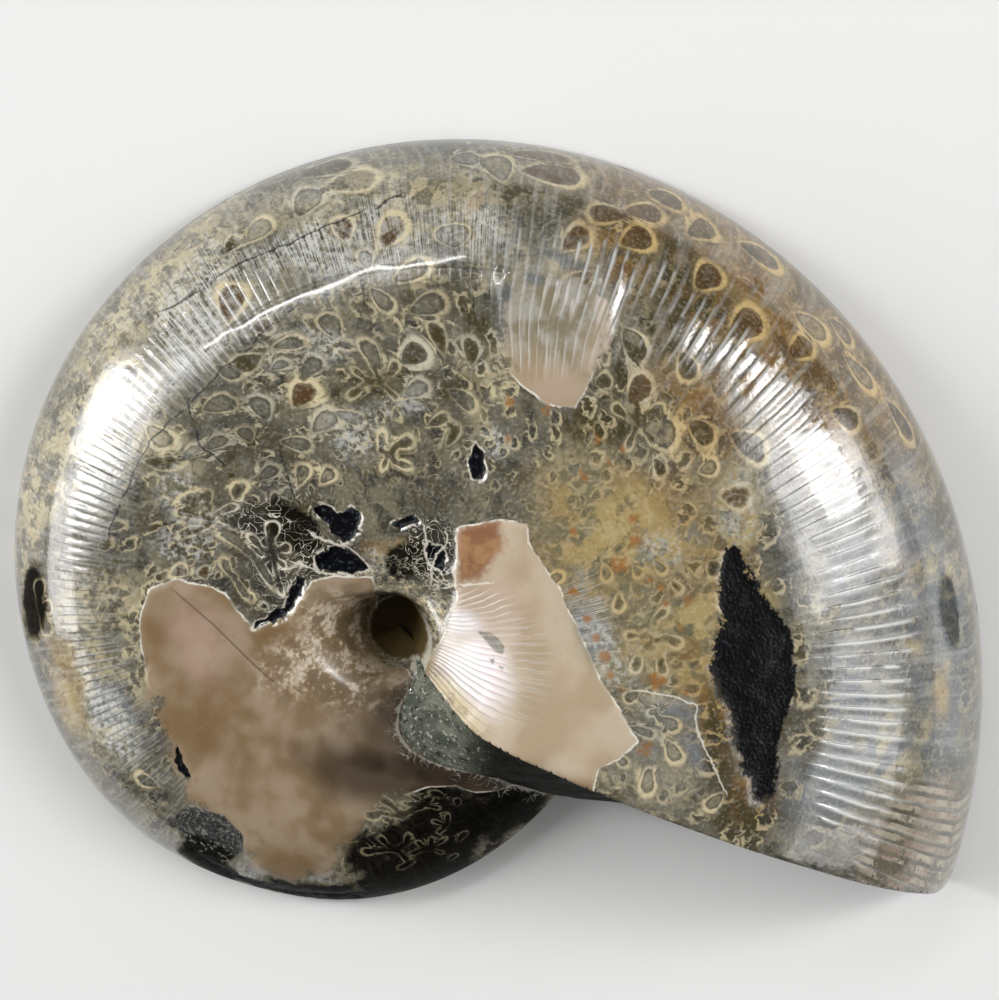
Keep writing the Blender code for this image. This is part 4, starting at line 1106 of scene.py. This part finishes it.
def shellMaterial():
    material, shader, w = newMaterial("polished shell")
    flecks = sharedFlecks(w)
    base, frosting = stoneGround(w, flecks)
    colour = sutureLeaves(w, flecks, base)
    colour, pearlMask = pearlLayer(w, flecks, colour)
    colour = growthLines(w, flecks, colour)
    colour, crystalMask, darkMask, hollowMask = breaks(w, flecks, colour)
    colour, stonePart, hole = fillAndHole(w, flecks, colour, pearlMask)

    medium, grain, saw = flecks.medium, flecks.grain, flecks.saw
    rise = saw.rising(0.0, 0.78) - saw.rising(0.80, 0.98)
    height = rise * w.mark("ribHeight") + grain * w.mark("grainDepth")
    polishEdge = w.mark("polishEdge")
    ridge = abs(polishEdge).rising(0.55, 0.0) * w.mark("polishSpan")
    height = height + 0.14 * ridge
    bump = w.node("ShaderNodeBump", {"Strength": 1.0, "Distance": mm, "Height": height})
    rough = 0.15 + 0.20 * pearlMask + 0.25 * darkMask + 0.25 * crystalMask
    rough = rough + 0.45 * stonePart + 0.20 * frosting + 0.06 * medium + 0.1 * hollowMask
    w.plug(shader.inputs["Base Color"], colour)
    w.plug(shader.inputs["Roughness"], rough)
    w.plug(shader.inputs["Normal"], bump)
    w.plug(shader.inputs["Coat Weight"], 0.8 * (1 - stonePart) * (1 - pearlMask * 0.8))
    shader.inputs["Coat Roughness"].default_value = 0.06
    shader.inputs["IOR"].default_value = 1.75
    rock = w.node("ShaderNodeBsdfPrincipled",
                  {"Base Color": colour, "Roughness": 0.45, "IOR": 1.22, "Normal": bump,
                   "Specular IOR Level": 0.15})
    dull = darkMask * 0.85 + hollowMask * 0.85 + hole
    dull = dull + w.mark("dark").rising(0.05, 0.4) * (1 - pearlMask * 0.6)
    dull = (dull + stonePart).held()
    output = material.node_tree.nodes["Material Output"]
    polished = Wire(material.node_tree, shader.outputs[0])
    w.plug(output.inputs["Surface"], w.node("ShaderNodeMixShader", {0: dull, 1: polished, 2: rock}))
    return material


cutFace = {
    "chamber": math.radians(11.5),      # angle between two chamber walls
    "bow": 4,                           # how far the chamber walls curve, in chambers
    "fill": (srgb(116, 78, 44), srgb(204, 178, 128), srgb(222, 206, 172)),
    "chamberWall": srgb(226, 214, 186),
    "shellWall": srgb(214, 198, 164),
}


def sawnMaterial():
    material, shader, w = newMaterial("sawn face")
    here = w.node("ShaderNodeTexCoord", output="Object")
    x = w.node("ShaderNodeSeparateXYZ", {0: here}, output=0)
    y = w.node("ShaderNodeSeparateXYZ", {0: here}, output=1)
    medium = w.fleck(here, 1000 / 3, 4, 0.6)
    radius = (x * x + y * y) ** 0.5
    angle = w.node("ShaderNodeMath", {0: y, 1: x}, operation="ARCTAN2")
    inwards = w.maths("LOGARITHM", radius / (coil["lipRadius"] * mm), math.e) / -coil["shrink"]
    turn = (inwards - angle + coil["start"]) / fullTurn
    across = turn.fraction()
    wall = (abs(across - 0.5)).rising(0.455, 0.480)
    curve = (across - 0.5) * (across - 0.5) * -0.5
    perTurn = fullTurn / cutFace["chamber"]
    place = angle / cutFace["chamber"] + curve * cutFace["bow"] + (turn - across) * perTurn
    chamber = place.fraction()
    septum = abs(chamber - 0.5).rising(0.44, 0.48)
    number = w.fleck(w.vector(place - chamber, 0.5), 0.77, 0)
    darkFill, paleFill, flecked = cutFace["fill"]
    fill = w.blend(number.rising(0.40, 0.62), darkFill, paleFill)
    fill = w.blend(medium.rising(0.48, 0.66) * 0.6, fill, flecked)
    colour = w.blend((septum * 0.9).held(), fill, cutFace["chamberWall"])
    colour = w.blend(wall, colour, cutFace["shellWall"])
    w.plug(shader.inputs["Base Color"], colour)
    shader.inputs["Roughness"].default_value = 0.12
    return material


ammonite.data.materials.append(shellMaterial())
ammonite.data.materials.append(sawnMaterial())
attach(ammonite, "root")
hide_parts("ammonite_half")
print("ammonite: materials made")

view = {
    "tilt": math.radians(10),       # the camera leans this far towards +Y from straight above
    "distance": 0.9,
    "acrossImage": 134.3 * mm,      # width seen at the sawn face
    "middle": (14.72 * mm, 14.74 * mm, 0.0),
    "lampsAim": (0.012, 0.01, 0.01),
    "worldStrength": 0.14,
}
lamps = {                           # place, size across and up, watts
    "left key": ((-0.930, 0.310, 0.516), (0.20, 0.50), 3.6),
    "left softbox": ((-0.937, 0.278, 0.506), (0.33, 0.76), 3.4),
    "left spread": ((-0.937, 0.25, 0.506), (0.52, 1.0), 2.4),
    "right key": ((0.870, 0.335, 0.590), (0.20, 0.34), 2.8),
    "right softbox": ((0.883, 0.273, 0.597), (0.33, 0.78), 3.4),
    "right spread": ((0.883, 0.23, 0.597), (0.52, 1.0), 2.0),
    "left low": ((-1.02, -0.16, 0.30), (0.50, 0.40), 2.8),
    "right low": ((0.90, -0.24, 0.62), (0.45, 0.60), 1.9),
    "top strip": ((-0.36, 0.646, 0.876), (0.80, 0.022), 1.6),
}


def floorMaterial():
    material, shader, w = newMaterial("pale floor")
    shader.inputs["Base Color"].default_value = (0.8, 0.8, 0.79, 1)
    shader.inputs["Roughness"].default_value = 0.9
    return material


bpy.ops.mesh.primitive_plane_add(size=6, location=(0, 0, 0))
floor = bpy.context.object
floor.name = "floor"
floor.data.materials.append(floorMaterial())

for lampName, (place, size, watts) in lamps.items():
    lamp = bpy.data.lights.new(lampName, "AREA")
    lamp.shape = "RECTANGLE"
    lamp.size, lamp.size_y = size
    lamp.energy = watts
    box = bpy.data.objects.new(lampName, lamp)
    box.location = place
    box.rotation_euler = (Vector(place) - Vector(view["lampsAim"])).to_track_quat("Z", "Y").to_euler()
    bpy.context.scene.collection.objects.link(box)

world = bpy.data.worlds.new("studio")
world.use_nodes = True
world.node_tree.nodes["Background"].inputs["Color"].default_value = (1, 1, 1, 1)
world.node_tree.nodes["Background"].inputs["Strength"].default_value = view["worldStrength"]
bpy.context.scene.world = world

camera = bpy.data.objects.new("camera", bpy.data.cameras.new("camera"))
tilt = view["tilt"]
back = Vector((0, math.sin(tilt), math.cos(tilt)))
up = Vector((0, math.cos(tilt), -math.sin(tilt)))
camera.matrix_world = Matrix.Translation(Vector(view["middle"]) + view["distance"] * back) @ Matrix(
    (up.cross(back), up, back)).transposed().to_4x4()
camera.data.sensor_width = 36
camera.data.lens = 36 * view["distance"] / view["acrossImage"]
camera.data.clip_start = 0.05
bpy.context.scene.collection.objects.link(camera)
bpy.context.scene.camera = camera
bpy.context.scene.view_settings.view_transform = "Standard"
